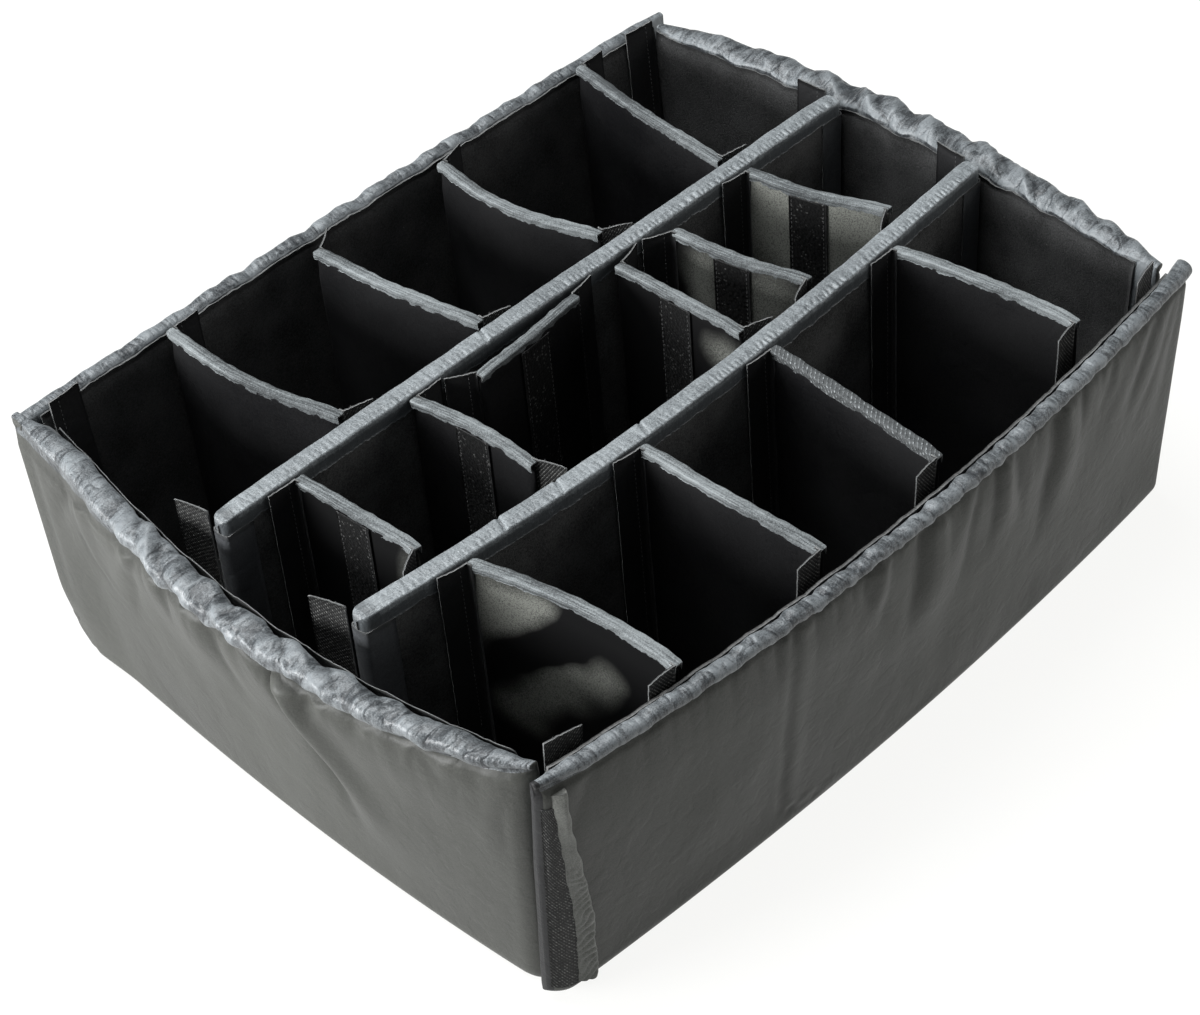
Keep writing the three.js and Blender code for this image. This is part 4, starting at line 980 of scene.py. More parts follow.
def wall_cover(wall):
    """A wall in its nylon: cloth up the outer face, a gathered roll over the top and a plain inner side."""
    rng = np.random.default_rng(wall.seed)
    surface, measure = cover_cloth(wall, rng)
    s, from_seam, fullness = measure[..., 0], measure[..., 1], measure[..., 2]
    detail = stitched_detail(wall, s, from_seam, fullness, rng)
    centre = placed(wall, wall.length / 2, inner_offset(wall, 0.5, HEIGHT / 2) - 60, HEIGHT / 2)
    ways = outward(surface, centre)
    surface = surface + ways * detail[..., None]
    if wall.end_band:
        end_trim(wall, s[:, 0], from_seam[0], surface, ways)

    under, down = closing_lines(wall, s[:, :1])
    points = np.concatenate([*under, surface, *down], axis=1)
    kinds = np.zeros((len(points) - 1, points.shape[1]), int)
    last = len(under) - 1 + surface.shape[1]
    # The roll takes the rim nylon, with its painted light.
    kinds[:, len(under) : last] = from_seam[:-1, :-1] > 0
    kinds[:, last : last + 3] = 1
    # Painted shade: a wall with an end band takes the dark flap nylon on its first end, which lies in shade.
    if wall.end_band:
        kinds[s[:-1, 0] < 2.4] = 2
    others = [RIM_NYLON, FLAP_NYLON]
    piece = tube(f"{wall.name}_padding", points, WALL_NYLON, "walls", kinds, others)
    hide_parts(f"{wall.name}_cover", f"{wall.name}_foam")


def end_trim(wall, s, from_seam, surface, ways):
    """The hook tape up the wall's first end, and the drawn-up welt of nylon beside it."""
    order = np.flatnonzero((from_seam < -0.5) & (from_seam > -184))
    seam_side = np.arange(from_seam[order[-1]], from_seam[order[0]], -0.9)
    down = np.clip(-seam_side / 185, 0, 1)
    border = 6.5 + 10.0 * smooth(down * 1.3) + 0.7 * noise(seam_side / 12, 0.5, wall.seed + 8)

    def laid(across, field):
        """A field of the cover's grid at places given by s and the height under the seam."""
        rows = np.interp(across, s, np.arange(len(s)))
        columns = np.interp(seam_side, from_seam[order], order)[None] + 0 * rows
        i, j = np.floor(rows).astype(int), np.floor(columns).astype(int)
        p, q = (rows - i)[..., None], (columns - j)[..., None]
        return lerp(lerp(field[i, j], field[i, j + 1], q), lerp(field[i + 1, j], field[i + 1, j + 1], q), p)

    tape_s = lerp(1.6, border + 1.5, np.linspace(0, 1, 9)[:, None])
    shown = slice(10, None)
    tape, aside = laid(tape_s, surface)[:, shown], laid(tape_s, ways)[:, shown]
    name = f"{wall.name}_hook_strip"
    hook_strip = slab(name, tape + 0.8 * aside, tape - 0.3 * aside, [HOOK, HOOK, LOOP], "walls")
    share = np.linspace(0, 1, 20)[:, None]
    width = wall.end_band * (0.6 + 0.4 * smooth(down * 1.5)) + 1.0 * noise(seam_side / 16, 2.5, wall.seed + 9)
    ridge = np.sin(np.pi / 2 * (share / 0.8).clip(0, 1)) * np.sqrt(1 - ((share - 0.8) / 0.2).clip(0, 1) ** 2)
    ridge = ridge * smooth((185 + seam_side) / 14)
    wander = 1.1 * noise(seam_side / 17, 0.8 * share, 3)
    folds = np.abs(np.sin(np.pi * (seam_side / 6.5 - width * share / 8 + wander)))
    broad = noise(seam_side / 26, share, wall.seed + 12)
    height = ridge * (3.6 + 1.2 * broad + 1.5 * (folds**0.7 - 0.6) * smooth(down * 2.2 - 0.4))
    welt_s = border + width * share
    welt, aside = laid(welt_s, surface), laid(welt_s, ways)
    front = welt + (height[..., None] + 0.15) * aside
    # The welt takes the lighter copy of the wall nylon, which paints light on it.
    welt = slab(f"{wall.name}_welt", front, welt - 0.8 * aside, [PAINTED_LIGHT_WELT_NYLON] * 3, "walls")


def wall_lining(wall):
    """The loop lining: a brushed face from the hem to a fuzzy cut edge that stands just inside the rim."""
    first, last = wall.hems[0], wall.length - wall.hems[1]
    s = np.concatenate([[first], np.arange(first + 3, last - 2, 4.0), [last]])[:, None]
    u = s / wall.length
    low_edge = 5.5 + wall.rim_return * along(wall, u, full)
    high = HEIGHT - low_edge + 0.8 * noise(s / 5, 3.0, wall.seed + 5) + 0.7 * rim_lift(wall, u)
    z = lerp(HEM, high, np.linspace(0, 1, 46)[None, :])
    near_top = smooth((z - HEIGHT + 16) / 12)
    ripple = (0.5 * noise(s / 35, z / 45, wall.seed + 6) - 0.3) * smooth(np.minimum(s - first, last - s) / 40)
    face = inner_offset(wall, u, z) + ripple
    front = placed(wall, s, face + wall.edge_turn * near_top, z)
    back = placed(wall, s, face + 1.2 + 1.9 * near_top, z)
    edge = FUZZ if wall.end_band else CUT_EDGE
    piece = slab(f"{wall.name}_loop_lining", front, back, [LOOP, LOOP, edge], "walls")
    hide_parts(f"{wall.name}_lining")


def wall_face(wall, along_wall, z):
    return inner_offset(wall, np.clip(along_wall / wall.length, 0, 1), z)


def near_face(x, z):
    return -wall_face(NEAR, x + 5.0, z)


def far_face(x, z):
    return WIDTH + wall_face(FAR, 560.0 - x, z)


def left_face(y, z):
    return -wall_face(LEFT, 417.0 - y, z)


def right_face(y, z):
    return LENGTH + wall_face(RIGHT, y - 11.0, z)


def floor_pad():
    a = np.linspace(0, 1, 90)[:, None]
    b = np.linspace(0, 1, 70)[None, :]
    y = lerp(9.8, 418.2, b)
    x = lerp(left_face(y, 0.0) + 0.8, right_face(y, 0.0) - 0.8, a)
    y = lerp(near_face(x, 0.0) + 0.8, far_face(x, 0.0) - 0.8, b)
    edge = np.minimum(np.minimum(a, 1 - a) * 540, np.minimum(b, 1 - b) * 410)
    top = 8.0 - 1.6 * np.exp(-edge / 4) - 0.3 * smooth(noise(x / 60, y / 60, 71))
    piece = slab("floor_padding", grid_of(x, y, top), grid_of(x, y, 0.4), [LOOP] * 3, "walls")
    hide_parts("floor_pad")


# Dividers. The middle line of a panel is given by place, as the point at a share of its length, a distance
# to one side and a height.


def padded_panel(name, place, length, half, material, seed):
    steps = int(length / 3.5)
    ends = np.array([0.03, 0.5, 1.4, 2.6]) / length
    w = np.concatenate([ends, np.linspace(4 / length, 1 - 4 / length, steps), 1 - ends[::-1]])[:, None]
    depth = np.clip(np.minimum(w, 1 - w) * length / 4.0, 0, 1)
    rounding = np.sqrt(1 - (1 - depth) ** 2)
    top = DIVIDER_TOP - 2.2
    heights = np.concatenate([[FLOOR_TOP + 0.2, FLOOR_TOP + 1.5], np.linspace(FLOOR_TOP + 4, top - half, 46)])
    from_end = np.minimum(w, 1 - w) * length
    half = half - 0.35 if half < LONG_HALF else half
    swell = 0.06 * half + 0.25
    slimmer = lerp(0.35, 1.0, smooth(from_end / 7))
    sunk = 5.0 * (1 - smooth(from_end / 7))
    columns = []
    for side, order in ((-1, heights), (1, heights[::-1])):
        if side == 1:
            for turn in (0.8, 0.6, 0.4, 0.2):
                o = half * math.cos(math.pi * turn) * rounding * slimmer
                columns.append(place(w, o, top - half + half * math.sin(math.pi * turn) - sunk))
        for z in order:
            upright = math.sin(math.pi * (z - FLOOR_TOP) / DIVIDER_HEIGHT)
            ripple = 0.35 * noise(w * length / 38, z / 42, seed + side) * upright
            o = side * (half - 0.15 + (swell * np.sin(np.pi * w) + ripple) * upright)
            near_top = smooth((z - DIVIDER_TOP + 24) / 16)
            columns.append(place(w, o * rounding * lerp(1.0, slimmer, near_top), z - near_top * sunk))
    piece = tube(f"{name}_panel", np.concatenate(columns, axis=1), material, name)
    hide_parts(name)


def binding_outline(half, depth, corner, crown):
    """Round corners and a nearly flat top: distance to one side, height under the top and the way outwards."""
    side = [(half, low, 1.0, 0.0) for low in np.linspace(corner + 0.8, depth, 6)]
    bend = []
    for turn in np.linspace(0.5, 0, 6) * math.pi:
        across, up = math.cos(turn), math.sin(turn)
        bend.append((half - corner * (1 - across), corner * (1 - up), across, up))
    level = [(share * (half - corner), 0.0, 0.0, 1.0) for share in np.linspace(-1, 1, 11)[1:-1]]
    mirrored = [(-o, low, -across, up) for o, low, across, up in (bend + side)[::-1]]
    outline = mirrored + level + bend + side
    return [(o, low + crown * (o / half) ** 2, across, up) for o, low, across, up in outline]


def edge_binding(name, place, length, half, depth, material, seed, puckers=None):
    """Nylon folded over a panel's top edge. Its ends are square, or closed where it is drawn up in puckers."""
    step = 0.8 if puckers else 1.2
    ends = np.array([0.05, 0.5, 1.2, 2.2, 3.4])
    s = np.concatenate([ends, np.linspace(4.8, length - 4.8, int(length / step)), length - ends[::-1]])[:, None]
    w = s / length
    from_end = np.minimum(s, length - s)
    if puckers:
        nose = 0.02 + 0.98 * np.sqrt(1 - (1 - np.clip((from_end - 0.05) / 6.0, 0, 1)) ** 2)
        outline = binding_outline(half, depth, 0.32 * half, 0.4)
    else:
        nose = 0.72 + 0.28 * np.sqrt(1 - (1 - np.clip(from_end / 3.0, 0, 1)) ** 2)
        outline = binding_outline(half, depth, 0.24 * half, 0.25)
    around = 0.0
    front, back = [], []
    top = DIVIDER_TOP - 0.7
    for k, (o, low, across, up) in enumerate(outline):
        if k:
            around += math.hypot(o - outline[k - 1][0], low - outline[k - 1][1])
        edge = smooth((low - depth * 0.5) / (depth * 0.5))
        rag = (0.9 * noise(s / 2.6, across, seed) + 1.2 * noise(s / 11, across, seed + 1)) * edge
        swell = 0.35 * noise(s / 30, around / 7, seed + 9) + 0.25 * noise(s / 16, around / 2.2, seed + 10)
        swell = swell - 0.45 * edge
        if puckers:
            swell = swell + puckers(s, around, k / (len(outline) - 1))
        else:
            swell = swell + 0.38 * facets(s + 0.8 * around, around, 7.0, 5.0, seed + 11)
        swell = np.minimum(swell, 0.9)
        z = top - low
        drop = 0.7 * half * (1 - nose) ** 1.5 + 1.5 * np.exp(-from_end / 9.0)
        front.append(place(w, (o + across * swell) * nose, z + up * swell + rag - drop))
        back.append(place(w, (o - across * 0.8) * nose, z - up * 0.8 + rag - drop))
    front, back = np.concatenate(front, axis=1), np.concatenate(back, axis=1)
    piece = slab(f"{name}_edge", front, back, [material, material, CUT_EDGE], name)
    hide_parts(f"{name}_binding")
    if puckers:
        # Painted shade on the sides and first end of the binding.
        shade_sides(piece, [low > 0.5 * half for _, low, _, _ in outline])


def shade_sides(piece, on_side):
    """Lowers the relief on a binding's sides and first end, which paints shade there."""
    values = np.empty(len(piece.data.vertices), np.float32)
    layer = piece.data.attributes["relief"].data
    layer.foreach_get("value", values)
    rows = values.reshape(2, -1, len(on_side))
    rows[:, :, np.array(on_side)] -= 0.5
    rows[:, :14] -= 1.1 * (1 - np.arange(14)[None, :, None] / 14)
    layer.foreach_set("value", rows.ravel())


def end_band(name, place, length, at_start):
    """Nylon folded round the end of a long divider, from the floor to its top binding."""
    band, half = 20.0, LONG_HALF
    z = np.linspace(FLOOR_TOP + 0.5, DIVIDER_TOP - 13.0, 44)[None, :]
    reach = half + 0.35
    outline = [(d, -reach) for d in np.linspace(band, 2.5, 7)]
    turns = np.linspace(0.15, math.pi - 0.15, 9)
    outline += [(2.5 - 2.6 * math.sin(t) - 0.4, -reach * math.cos(t)) for t in turns]
    outline += [(d, reach) for d in np.linspace(2.5, band, 7)]
    front, back = [], []
    for d, o in outline:
        share = d / length if at_start else 1 - d / length
        wave = 0.25 * noise(z / 25, d / 10, 91)
        front.append(place(share, o + np.sign(o) * (0.35 + wave), z))
        inner = (d + 0.7 * (1 if d < 2.5 else 0)) / length
        back.append(place(inner if at_start else 1 - inner, o * (reach - 0.35) / reach, z))
    front, back = (np.stack([p[0] for p in side], axis=0) for side in (front, back))
    label = "left" if at_start else "right"
    piece = slab(f"{name}_{label}_band", front, back, [END_NYLON, END_NYLON, CUT_EDGE], name)


# Painted highlights on the panels, with painted shade where the share is negative: y, z, half sizes and share of
# each soft patch, in metres.
SATIN_HIGHLIGHT_PATCHES = {
    "near_divider_1": [
        (-0.084, 0.168, 0.017, 0.028, 1.0), (-0.104, 0.182, 0.020, 0.015, 0.8),
        (-0.122, 0.190, 0.014, 0.009, 0.5), (-0.093, 0.094, 0.015, 0.014, 0.45),
        (-0.106, 0.103, 0.015, 0.015, 0.5), (-0.118, 0.114, 0.015, 0.016, 0.55),
        (-0.130, 0.126, 0.015, 0.017, 0.6), (-0.142, 0.139, 0.015, 0.018, 0.6),
        (-0.153, 0.149, 0.015, 0.016, 0.5), (-0.164, 0.159, 0.013, 0.013, 0.4),
        (-0.100, 0.090, 0.020, 0.018, 0.25), (-0.100, 0.139, 0.013, 0.010, -0.5),
        (-0.114, 0.147, 0.013, 0.011, -0.7), (-0.127, 0.157, 0.012, 0.012, -0.8),
        (-0.138, 0.172, 0.010, 0.014, -0.8),
    ],
    "centre_divider_5": [(0.0, 0.178, 0.110, 0.058, 1.15)],
    "centre_divider_4": [
        (0.019, 0.165, 0.012, 0.034, 0.8), (-0.029, 0.160, 0.022, 0.034, 0.8), (0.0, 0.18, 0.06, 0.02, 0.2),
    ],
    "centre_divider_3": [(-0.044, 0.175, 0.018, 0.016, 0.6)],
    "centre_divider_1": [(-0.041, 0.172, 0.013, 0.024, 0.6)],
}
PAINTED_SATIN = {
    name: painted_satin_highlight(f"{name}_satin", (0.005, 0.005, 0.0052), (0.150, 0.153, 0.138), highlight_patches)
    for name, highlight_patches in SATIN_HIGHLIGHT_PATCHES.items()
}

# Hook flaps. Each lies along one axis of the liner, across or along, and folds back beside it.


def seated_fold(width, facing, side, way, low, high, gap_to):
    """The fold at which a flap's tip comes down on the face it hooks to."""
    other = 1 - facing
    open_fold, flat_fold = 0.44 * math.pi, -0.06 * math.pi

    def clear(share):
        fold = lerp(open_fold, flat_fold, share)
        for v in (0, 0.35, 0.7, 1):
            for reach in (0.3, 0.55, 0.8, 1):
                point = lerp(low, high, v)
                point[facing] += side * reach * width * math.sin(fold)
                point[other] += way * reach * width * math.cos(fold)
                if gap_to(point) < FLAP_HALF + 0.4:
                    return False
        return True

    touching = 0.0
    while touching < 1 and not clear(touching + 1 / 64):
        touching += 1 / 64
    free = min(touching + 1 / 64, 1)
    for _ in range(12):
        between = (touching + free) / 2
        touching, free = (touching, between) if clear(between) else (between, free)
    return lerp(open_fold, flat_fold, free)


def hook_flap(name, width, facing, side, way, low, high, gap_to, body, seed, root=0.0):
    """A flap of hook tape sewn along an end: nylon on one side, hooks on the other, with cut edges.

    Where it has a root, that runs back into the panel that carries it.
    """
    fold = seated_fold(width, facing, side, way, low, high, gap_to)
    run = np.zeros(3)
    run[facing], run[1 - facing] = side * math.sin(fold), way * math.cos(fold)
    out = np.zeros(3)
    out[facing], out[1 - facing] = side * math.cos(fold), -way * math.sin(fold)
    r = np.linspace(0, 1, 12)[:, None, None]
    if root:
        r = np.concatenate([[[[-root / width]]], r])
        back_in, beside = np.zeros(3), np.zeros(3)
        back_in[facing], beside[1 - facing] = side, -way
        mitre = (beside + out) / (1 + beside @ out)
        run = np.where(r < 0, back_in, run)
        out = np.where(r < 0, beside, np.where(r == 0, mitre, out))
    v = np.linspace(0, 1, 60)[None, :, None]
    height = np.linalg.norm(high - low)
    frayed = 0.35 * noise(v * height / 3.0, 2.0, seed) * (r > 0.95)
    top = 0.5 * noise(r * width / 2.5, 4.0, seed) * (v > 0.99)
    curl = -0.5 * np.sin(np.pi * r) + 0.5 * noise(v * height / 45, r * 1.5, seed + 1) * r
    middle = lerp(low, high, v) + run * (r * width + frayed) + out * np.minimum(curl, 0.2)
    middle = middle + np.array([0, 0, 1.0]) * top
    half = FLAP_HALF * lerp(0.8, 0.55, r)
    front, back = middle - out * half, middle + out * half
    piece = slab(name, front, back, [FLAP_NYLON, HOOK, CUT_EDGE], body)
    stitch_lines.setdefault(body, []).append(front[-9])
    return piece


def short_divider(name, row, far, near, strip, seed):
    far_x, near_x, bow, far_gaps, near_gaps, far_way, near_way = row

    def edge_y(x, face, side, gaps, z):
        at_floor = face(x, FLOOR_TOP) - side * gaps[0] * FLAP_WIDTH
        at_top = face(x, DIVIDER_TOP) - side * gaps[1] * FLAP_WIDTH
        return lerp(at_floor, at_top, (z - FLOOR_TOP) / DIVIDER_HEIGHT)

    x_far, x_near = far_x * LENGTH, near_x * LENGTH

    def far_y(z):
        return edge_y(x_far, far, 1, far_gaps, z)

    def near_y(z):
        return edge_y(x_near, near, -1, near_gaps, z)

    def place(w, o, z):
        x = lerp(x_near, x_far, w) + bow * 7.0 * np.sin(np.pi * w) + o
        return grid_of(x, lerp(near_y(z), far_y(z), w), z)

    length = float(far_y(FLOOR_TOP) - near_y(FLOOR_TOP))
    # Some panels take satin nylon with painted highlights.
    padded_panel(name, place, length, SHORT_HALF, PAINTED_SATIN.get(name, PANEL_NYLON), seed)
    edge = RIBBED_EDGE if name == "near_divider_3" else EDGE_NYLON
    edge_binding(name, place, length, SHORT_HALF + 0.1, 5.6, edge, seed + 1)
    for label, x, y_at, side, way, face in (
        ("far", x_far, far_y, 1, far_way, far),
        ("near", x_near, near_y, -1, near_way, near),
    ):
        flap_x = x + way * (SHORT_HALF - FLAP_HALF)
        low = np.array([flap_x, y_at(FLAP_LOW) - side * FLAP_HALF, FLAP_LOW])
        high = np.array([flap_x, y_at(FLAP_HIGH) - side * FLAP_HALF, FLAP_HIGH])
        hook_flap(
            f"{name}_{label}_flap", FLAP_WIDTH, 1, side, way, low, high,
            lambda p: side * (face(p[0], p[2]) - p[1]), name, seed + 2 + side, root=3.5,
        )
    if strip:
        face_strip(name, place, length)


def face_strip(name, place, length):
    """A strip of loop tape up the middle of a panel's face."""
    w = (0.5 + np.linspace(-13, 13, 14) / length)[:, None]
    z = np.linspace(FLOOR_TOP + 6, DIVIDER_TOP - 6.0, 90)[None, :]
    swell = 0.46 * np.sin(np.pi * w) * np.sin(np.pi * (z - FLOOR_TOP) / DIVIDER_HEIGHT)
    rough = 0.12 * noise(w * length / 1.1, z / 1.1, 55)
    front = place(w, -(SHORT_HALF + 0.95 + swell + rough), z)
    back = place(w, -(SHORT_HALF + 0.3 + swell), z)
    piece = slab(f"{name}_loop_strip", front, back, [SPECKLED, SPECKLED, LOOP], name)
    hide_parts(f"{name}_strip")
    stitch_lines.setdefault(name, []).extend((front[1], front[-2]))



def far_line(x):
    return FAR_LINE + 0 * x


def near_line(x):
    u = np.clip(x / LENGTH, 0, 1)
    return 149.04 - 17.0 * np.sin(np.pi * u**0.87)


def up_share(z):
    return (z - FLOOR_TOP) / DIVIDER_HEIGHT


def long_divider(name, line, seed, pucker_from, seams):
    def left_end(z):
        return lerp(12.0, 13.0, up_share(z))

    def right_end(z):
        return LENGTH - lerp(10.0, 3.0, up_share(z))

    def place(w, o, z):
        x = lerp(left_end(z), right_end(z), w)
        return grid_of(x, line(x) + o + 0.6 * noise(x / 90, z / 120, seed), z)

    def puckers(s, around, share):
        """Short cross puckers that rise from the near seam."""
        places = np.arange(6.0, LENGTH, 3.4)
        places = places + np.random.default_rng(seed).uniform(-0.9, 0.9, len(places))
        puffs = gathers(s, np.full_like(s, around), places, np.full(len(places), 0.12), 3.4)
        strength = lerp(0.45, 1.0, smooth((s - pucker_from) / 60)) * (0.8 + 0.5 * noise(s / 30, 1.0, seed + 3))
        near_side = smooth((0.54 - share) / 0.16) * smooth((share - 0.22) / 0.06)
        total = 0.95 * (puffs - 0.9) * strength * near_side
        for seam in seams:
            distance = s - seam - 0.35 * around
            total = total - 1.2 * np.exp(-((distance / 1.1) ** 2)) * smooth((share - 0.2) / 0.1)
        along_edge = np.exp(-(((share - 0.27) / 0.025) ** 2)) - 0.8 * np.exp(-(((share - 0.36) / 0.03) ** 2))
        return total + 0.35 * along_edge

    length = 535.0
    padded_panel(name, place, length, LONG_HALF, PANEL_LOOP, seed)
    edge_binding(name, place, length, LONG_HALF + 0.7, 12.0, LONG_EDGE_NYLON, seed + 1, puckers)
    end_band(name, place, length, True)
    end_band(name, place, length, False)
    for label, side, end_x, face in (("left", -1, left_end, left_face), ("right", 1, right_end, right_face)):
        y = line(end_x(FLOOR_TOP)) + LONG_FACE + FLAP_HALF + 0.3
        low = np.array([end_x(FLAP_LOW) - side * FLAP_HALF, y, FLAP_LOW])
        high = np.array([end_x(FLAP_HIGH) - side * FLAP_HALF, y, FLAP_HIGH])
        flap_name = f"{name}_{label}_flap"
        flap = hook_flap(
            f"{flap_name}_tape", WIDE_FLAP, 0, side, 1, low, high,
            lambda p: side * (face(p[1], p[2]) - p[0]), flap_name, seed + 5 + side,
        )
        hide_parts(flap_name)


def stowed_divider(name, seed):
    start, end = 0.359 * LENGTH, 0.525 * LENGTH
    face_y = FAR_LINE - LONG_FACE

    def line_y(w):
        return face_y - lerp(13.0, 4.0, w) - SHORT_HALF - 2.1 * np.sin(np.pi * w)

    def place(w, o, z):
        return grid_of(lerp(start, end, w), line_y(w) + o, z)

    length = end - start
    padded_panel(name, place, length, SHORT_HALF, PANEL_NYLON, seed)
    edge_binding(name, place, length, SHORT_HALF - 0.1, 4.8, EDGE_NYLON, seed + 1)
    face_strip(name, place, length)
    for label, x, way, w, lift in (("left", start, -1, 0.0, 2.4), ("right", end, 1, 1.0, 0.0)):
        y = float(line_y(np.float64(w))) + SHORT_HALF - FLAP_HALF
        low = np.array([x - way * FLAP_HALF, y, FLAP_LOW])
        high = low + np.array([0, 0, FLAP_HIGH - FLAP_LOW])
        hook_flap(
            f"{name}_{label}_flap", FLAP_WIDTH, 1, 1, way, low, high,
            lambda p: face_y - lift - p[1], name, seed + 3,
        )


def corner_flaps(wall, x, way, seed):
    for label, y, side, face, flare in (
        ("near", 11.0, -1, near_face, 11.0),
        ("far", 417.0, 1, far_face, 9.0),
    ):
        ends = (FLAP_LOW, HEIGHT + 4.0)
        low, high = (np.array([x + way * 1.1, y + side * (flare * z / HEIGHT - FLAP_HALF), z]) for z in ends)
        flap_name = f"{wall.name}_{label}_flap"
        flap = hook_flap(
            f"{flap_name}_tape", WIDE_FLAP, 1, side, way, low, high,
            lambda p: side * (face(p[0], p[2]) - p[1]), flap_name, seed + side,
        )
        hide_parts(flap_name)


# Stitches


def stitch_tree():
    """Puts a small rounded stitch at every step along the lines of a mesh."""
    tree = bpy.data.node_groups.new("stitch row", "GeometryNodeTree")
    tree.interface.new_socket("Geometry", in_out="INPUT", socket_type="NodeSocketGeometry")
    for label in ("Step", "Stitch length", "Thread width"):
        tree.interface.new_socket(label, in_out="INPUT", socket_type="NodeSocketFloat")
    tree.interface.new_socket("Thread", in_out="INPUT", socket_type="NodeSocketMaterial")
    tree.interface.new_socket("Geometry", in_out="OUTPUT", socket_type="NodeSocketGeometry")
    given = tree.nodes.new("NodeGroupInput").outputs
    line = add_node(tree, "GeometryNodeMeshToCurve", {"Mesh": given["Geometry"]}).outputs[0]
    values = {"Curve": line, "Length": given["Step"]}
    spaced = add_node(tree, "GeometryNodeResampleCurve", values, mode="LENGTH").outputs[0]
    tangent = tree.nodes.new("GeometryNodeInputTangent").outputs[0]
    aligned = add_node(tree, "FunctionNodeAlignRotationToVector", {"Vector": tangent}, axis="X").outputs[0]
    half, thin = (Flow(tree, given[label]) * 0.5 for label in ("Stitch length", "Thread width"))
    size = add_node(tree, "ShaderNodeCombineXYZ", {"X": half, "Y": thin, "Z": thin}).outputs[0]
    stitch = add_node(tree, "GeometryNodeMeshIcoSphere", {"Radius": 1.0, "Subdivisions": 1}).outputs[0]
    values = {"Points": spaced, "Instance": stitch, "Rotation": aligned, "Scale": size}
    rows = add_node(tree, "GeometryNodeInstanceOnPoints", values).outputs[0]
    whole = add_node(tree, "GeometryNodeRealizeInstances", {"Geometry": rows}).outputs[0]
    rounded = add_node(tree, "GeometryNodeSetShadeSmooth", {"Geometry": whole}).outputs[0]
    values = {"Geometry": rounded, "Material": given["Thread"]}
    finished = add_node(tree, "GeometryNodeSetMaterial", values).outputs[0]
    add_node(tree, "NodeGroupOutput", {0: finished})
    return tree


def stitches(body, lines):
    """Rows of stitches along lines of points, one joined piece for each body."""
    name = f"{body}_stitches"
    vertices, edges = [], []
    for line in lines:
        start = len(vertices)
        vertices.extend(in_metres(line).tolist())
        edges.extend((k, k + 1) for k in range(start, len(vertices) - 1))
    mesh = bpy.data.meshes.new(name)
    mesh.from_pydata(vertices, edges, [])
    rows = shown_object(name, mesh)
    modifier = rows.modifiers.new("stitches", "NODES")
    modifier.node_group = STITCHES
    values = {"Step": 3.4 * MM, "Stitch length": 2.4 * MM, "Thread width": 0.55 * MM, "Thread": DARK_THREAD}
    for item in STITCHES.interface.items_tree:
        if item.in_out == "INPUT" and item.name in values:
            modifier[item.identifier] = values[item.name]
    made = rows.evaluated_get(bpy.context.evaluated_depsgraph_get())
    plain = bpy.data.meshes.new_from_object(made)
    rows.modifiers.remove(modifier)
    rows.data = plain
    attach(rows, body)


STITCHES = stitch_tree()
stitch_lines = {}

for each in WALLS:
    wall_cover(each)
    wall_lining(each)
floor_pad()

# Short dividers by bay, from the left: places of the far and the near end as shares of the length, bow, gaps
# at the far and the near end in flap widths, at the floor and the top, and the ways that the flaps fold.
FAR_BAY = [
    (0.192, 0.218, -1.2, (0.07, 0.35), (0.3, 0.3), 1, 1),
    (0.393, 0.424, -0.5, (0.6, 0.95), (0.25, 0.25), 1, 1),
    (0.6, 0.622, -1.7, (0.3, 0.6), (0.5, 0.5), 1, 1),
    (0.845, 0.812, -0.4, (0.07, 0.2), (0.2, 0.2), 1, 1),
]
CENTRE_BAY = [
    (0.122, 0.131, 0.0, (0.07, 0.07), (0.62, 0.62), -1, -1),
    (0.287, 0.297, 0.5, (0.07, 0.07), (0.95, 0.95), 1, 1),
    (0.594, 0.595, 0.0, (0.3, 0.3), (0.4, 0.4), 1, 1),
    (0.68, 0.711, -0.7, (0.45, 0.45), (0.35, 0.35), -1, -1),
    (0.818, 0.865, -0.9, (0.12, 0.12), (0.45, 0.45), -1, -1),
]
NEAR_BAY = [
    (0.152, 0.184, 0.9, (0.1, 0.1), (0.1, 0.12), -1, -1),
    (0.39, 0.395, -0.2, (0.1, 0.1), (0.12, 0.5), -1, -1),
    (0.596, 0.575, 0.0, (0.1, 0.1), (0.12, 0.5), -1, -1),
    (0.813, 0.838, 0.4, (0.1, 0.1), (0.12, 0.75), -1, -1),
]

long_divider("far_long_divider", far_line, 301, 250.0, [205.0])
long_divider("near_long_divider", near_line, 331, 230.0, [96.0, 139.0, 206.0])
def beside(line, distance):
    """The face of a long divider, on one side of its middle line."""
    return lambda x, z: line(x) + distance


for bay, rows, far, near, strip, first_seed in (
    ("far", FAR_BAY, far_face, beside(far_line, LONG_FACE), False, 400),
    ("centre", CENTRE_BAY, beside(far_line, -LONG_FACE), beside(near_line, LONG_FACE), True, 500),
    ("near", NEAR_BAY, beside(near_line, -LONG_FACE), near_face, False, 600),
):
    for k, row in enumerate(rows):
        short_divider(f"{bay}_divider_{k + 1}", row, far, near, strip, first_seed + 10 * k)
stowed_divider("stowed_divider", 700)
corner_flaps(LEFT, 13.0, 1, 800)
corner_flaps(RIGHT, LENGTH - 13.0, -1, 810)
for body, lines in stitch_lines.items():
    stitches(body, lines)

# Floor, light and camera


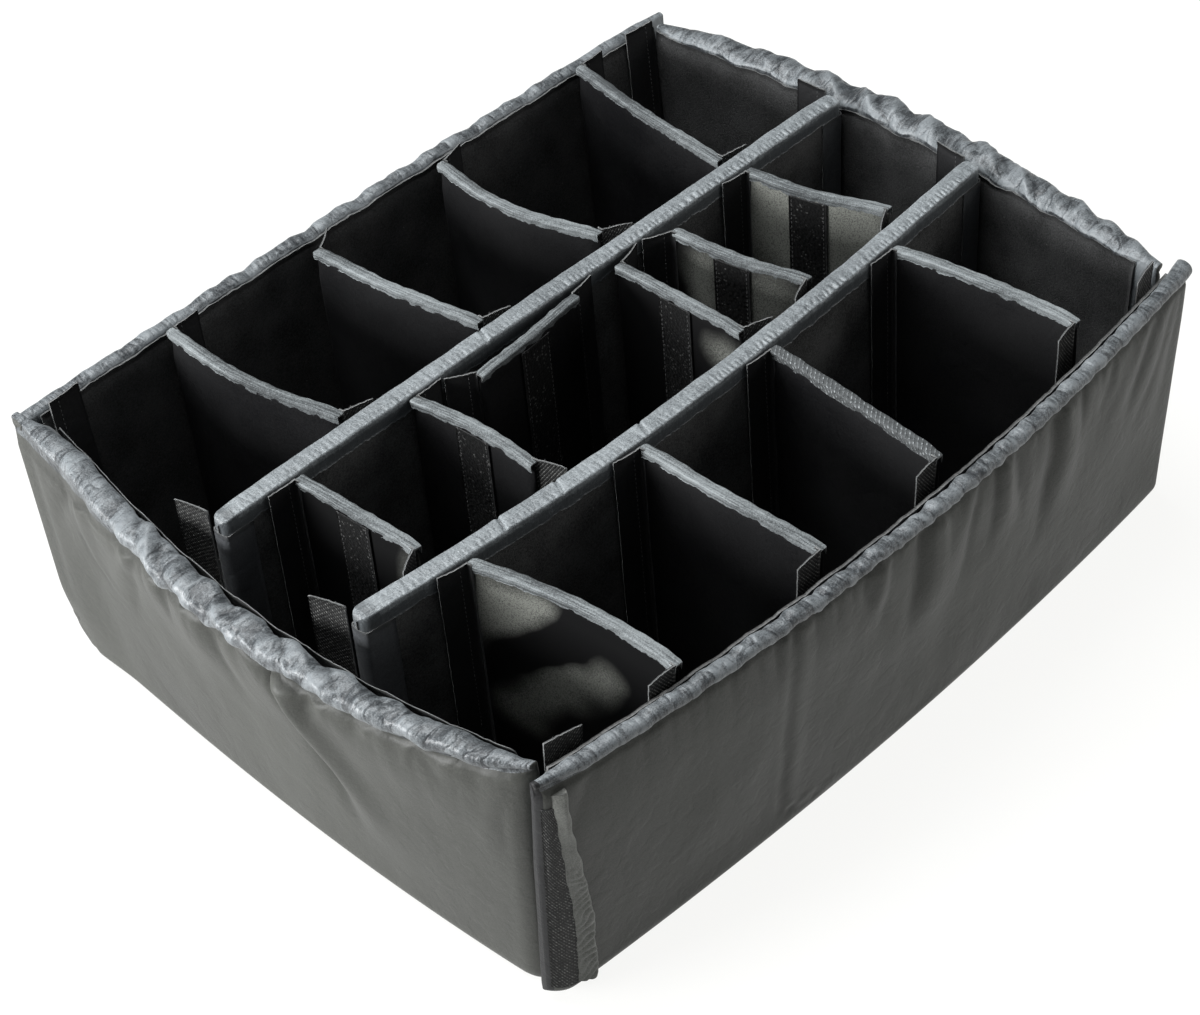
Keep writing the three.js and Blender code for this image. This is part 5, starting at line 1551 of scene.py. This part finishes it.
def shadow_floor():
    mesh = bpy.data.meshes.new("studio_floor")
    size = 6.0
    corners = [(-size, -size, 0), (size, -size, 0), (size, size, 0), (-size, size, 0)]
    mesh.from_pydata(corners, [], [(0, 1, 2, 3)])
    shown_object("studio_floor", mesh)
    material = bpy.data.materials.new("studio_floor")
    material.use_nodes = True
    tree = material.node_tree
    shader = tree.nodes["Principled BSDF"]
    shader.inputs["Roughness"].default_value = 0.9
    white = add_node(tree, "ShaderNodeEmission", {"Color": (1.0, 1.0, 0.985, 1.0), "Strength": 1.0}).outputs[0]
    rays = tree.nodes.new("ShaderNodeLightPath").outputs
    seen = Flow(tree, rays["Is Glossy Ray"]).maths("MAXIMUM", rays["Is Transmission Ray"])
    seen = Flow(tree, rays["Is Camera Ray"]).maths("MAXIMUM", seen)
    paper = mix_colour(tree, seen, (0.42, 0.42, 0.41, 1.0), (0.95, 0.95, 0.94, 1.0))
    feed(tree, shader.inputs, {"Base Color": paper})
    mixed = add_node(tree, "ShaderNodeMixShader", {0: seen * 0.9, 1: shader.outputs[0], 2: white}).outputs[0]
    feed(tree, tree.nodes["Material Output"].inputs, {"Surface": mixed})
    mesh.materials.append(material)


def studio_world():
    world = bpy.data.worlds.new("studio")
    bpy.context.scene.world = world
    world.use_nodes = True
    tree = world.node_tree
    ambient = tree.nodes["Background"]
    ambient.inputs["Color"].default_value = (0.93, 0.97, 1.0, 1.0)
    ambient.inputs["Strength"].default_value = 0.2
    white = add_node(tree, "ShaderNodeBackground", {"Color": (1.0, 1.0, 1.0, 1.0), "Strength": 1.0}).outputs[0]
    rays = tree.nodes.new("ShaderNodeLightPath").outputs
    values = {0: rays["Is Camera Ray"], 1: ambient.outputs[0], 2: white}
    mixed = add_node(tree, "ShaderNodeMixShader", values).outputs[0]
    feed(tree, tree.nodes["World Output"].inputs, {"Surface": mixed})


def softbox(name, place, aim, width, height, strength, colour):
    light = bpy.data.lights.new(name, "AREA")
    light.shape = "RECTANGLE"
    light.size, light.size_y = width, height
    light.energy = strength
    light.color = colour
    away = np.array(place) - np.array(aim)
    away = away / np.linalg.norm(away)
    across = np.cross([0, 0, 1.0], away)
    across = across / np.linalg.norm(across)
    shown_object(name, light).matrix_world = matrix_of(across, np.cross(away, across), away, place)


def matrix_of(x, y, z, place):
    rows = [[x[k], y[k], z[k], place[k]] for k in range(3)]
    return Matrix([*rows, [0, 0, 0, 1]])


def camera():
    data = bpy.data.cameras.new("view")
    data.sensor_width = 36.0
    data.lens = 86.81
    data.clip_end = 30.0
    eye = shown_object("view", data)
    azimuth, elevation, roll = (math.radians(a) for a in (-41.904, 42.650, -5.393))
    level = math.cos(elevation)
    back = np.array([math.sin(azimuth) * level, -math.cos(azimuth) * level, math.sin(elevation)])
    right = np.cross(-back, [0, 0, 1.0])
    right = right / np.linalg.norm(right)
    up = np.cross(right, -back)
    x = right * math.cos(roll) + up * math.sin(roll)
    y = up * math.cos(roll) - right * math.sin(roll)
    place = (np.array([-643.096, -793.503, 1312.114]) + CORNER) * MM
    eye.matrix_world = matrix_of(x, y, back, place)
    bpy.context.scene.camera = eye


camera()
shadow_floor()
studio_world()
softbox("key", (-2.5, 1.05, 0.8), (0, 0, 0.1), 1.3, 1.0, 165.0, (0.98, 0.99, 1.0))
softbox("top", (-0.3, 0.7, 2.4), (0, 0, 0.1), 2.0, 1.8, 110.0, (0.96, 0.985, 1.0))
softbox("fill", (1.2, -1.2, 0.85), (0, 0, 0.1), 0.9, 0.8, 8.5, (1.0, 0.995, 0.98))
bpy.context.scene.view_settings.view_transform = "Standard"
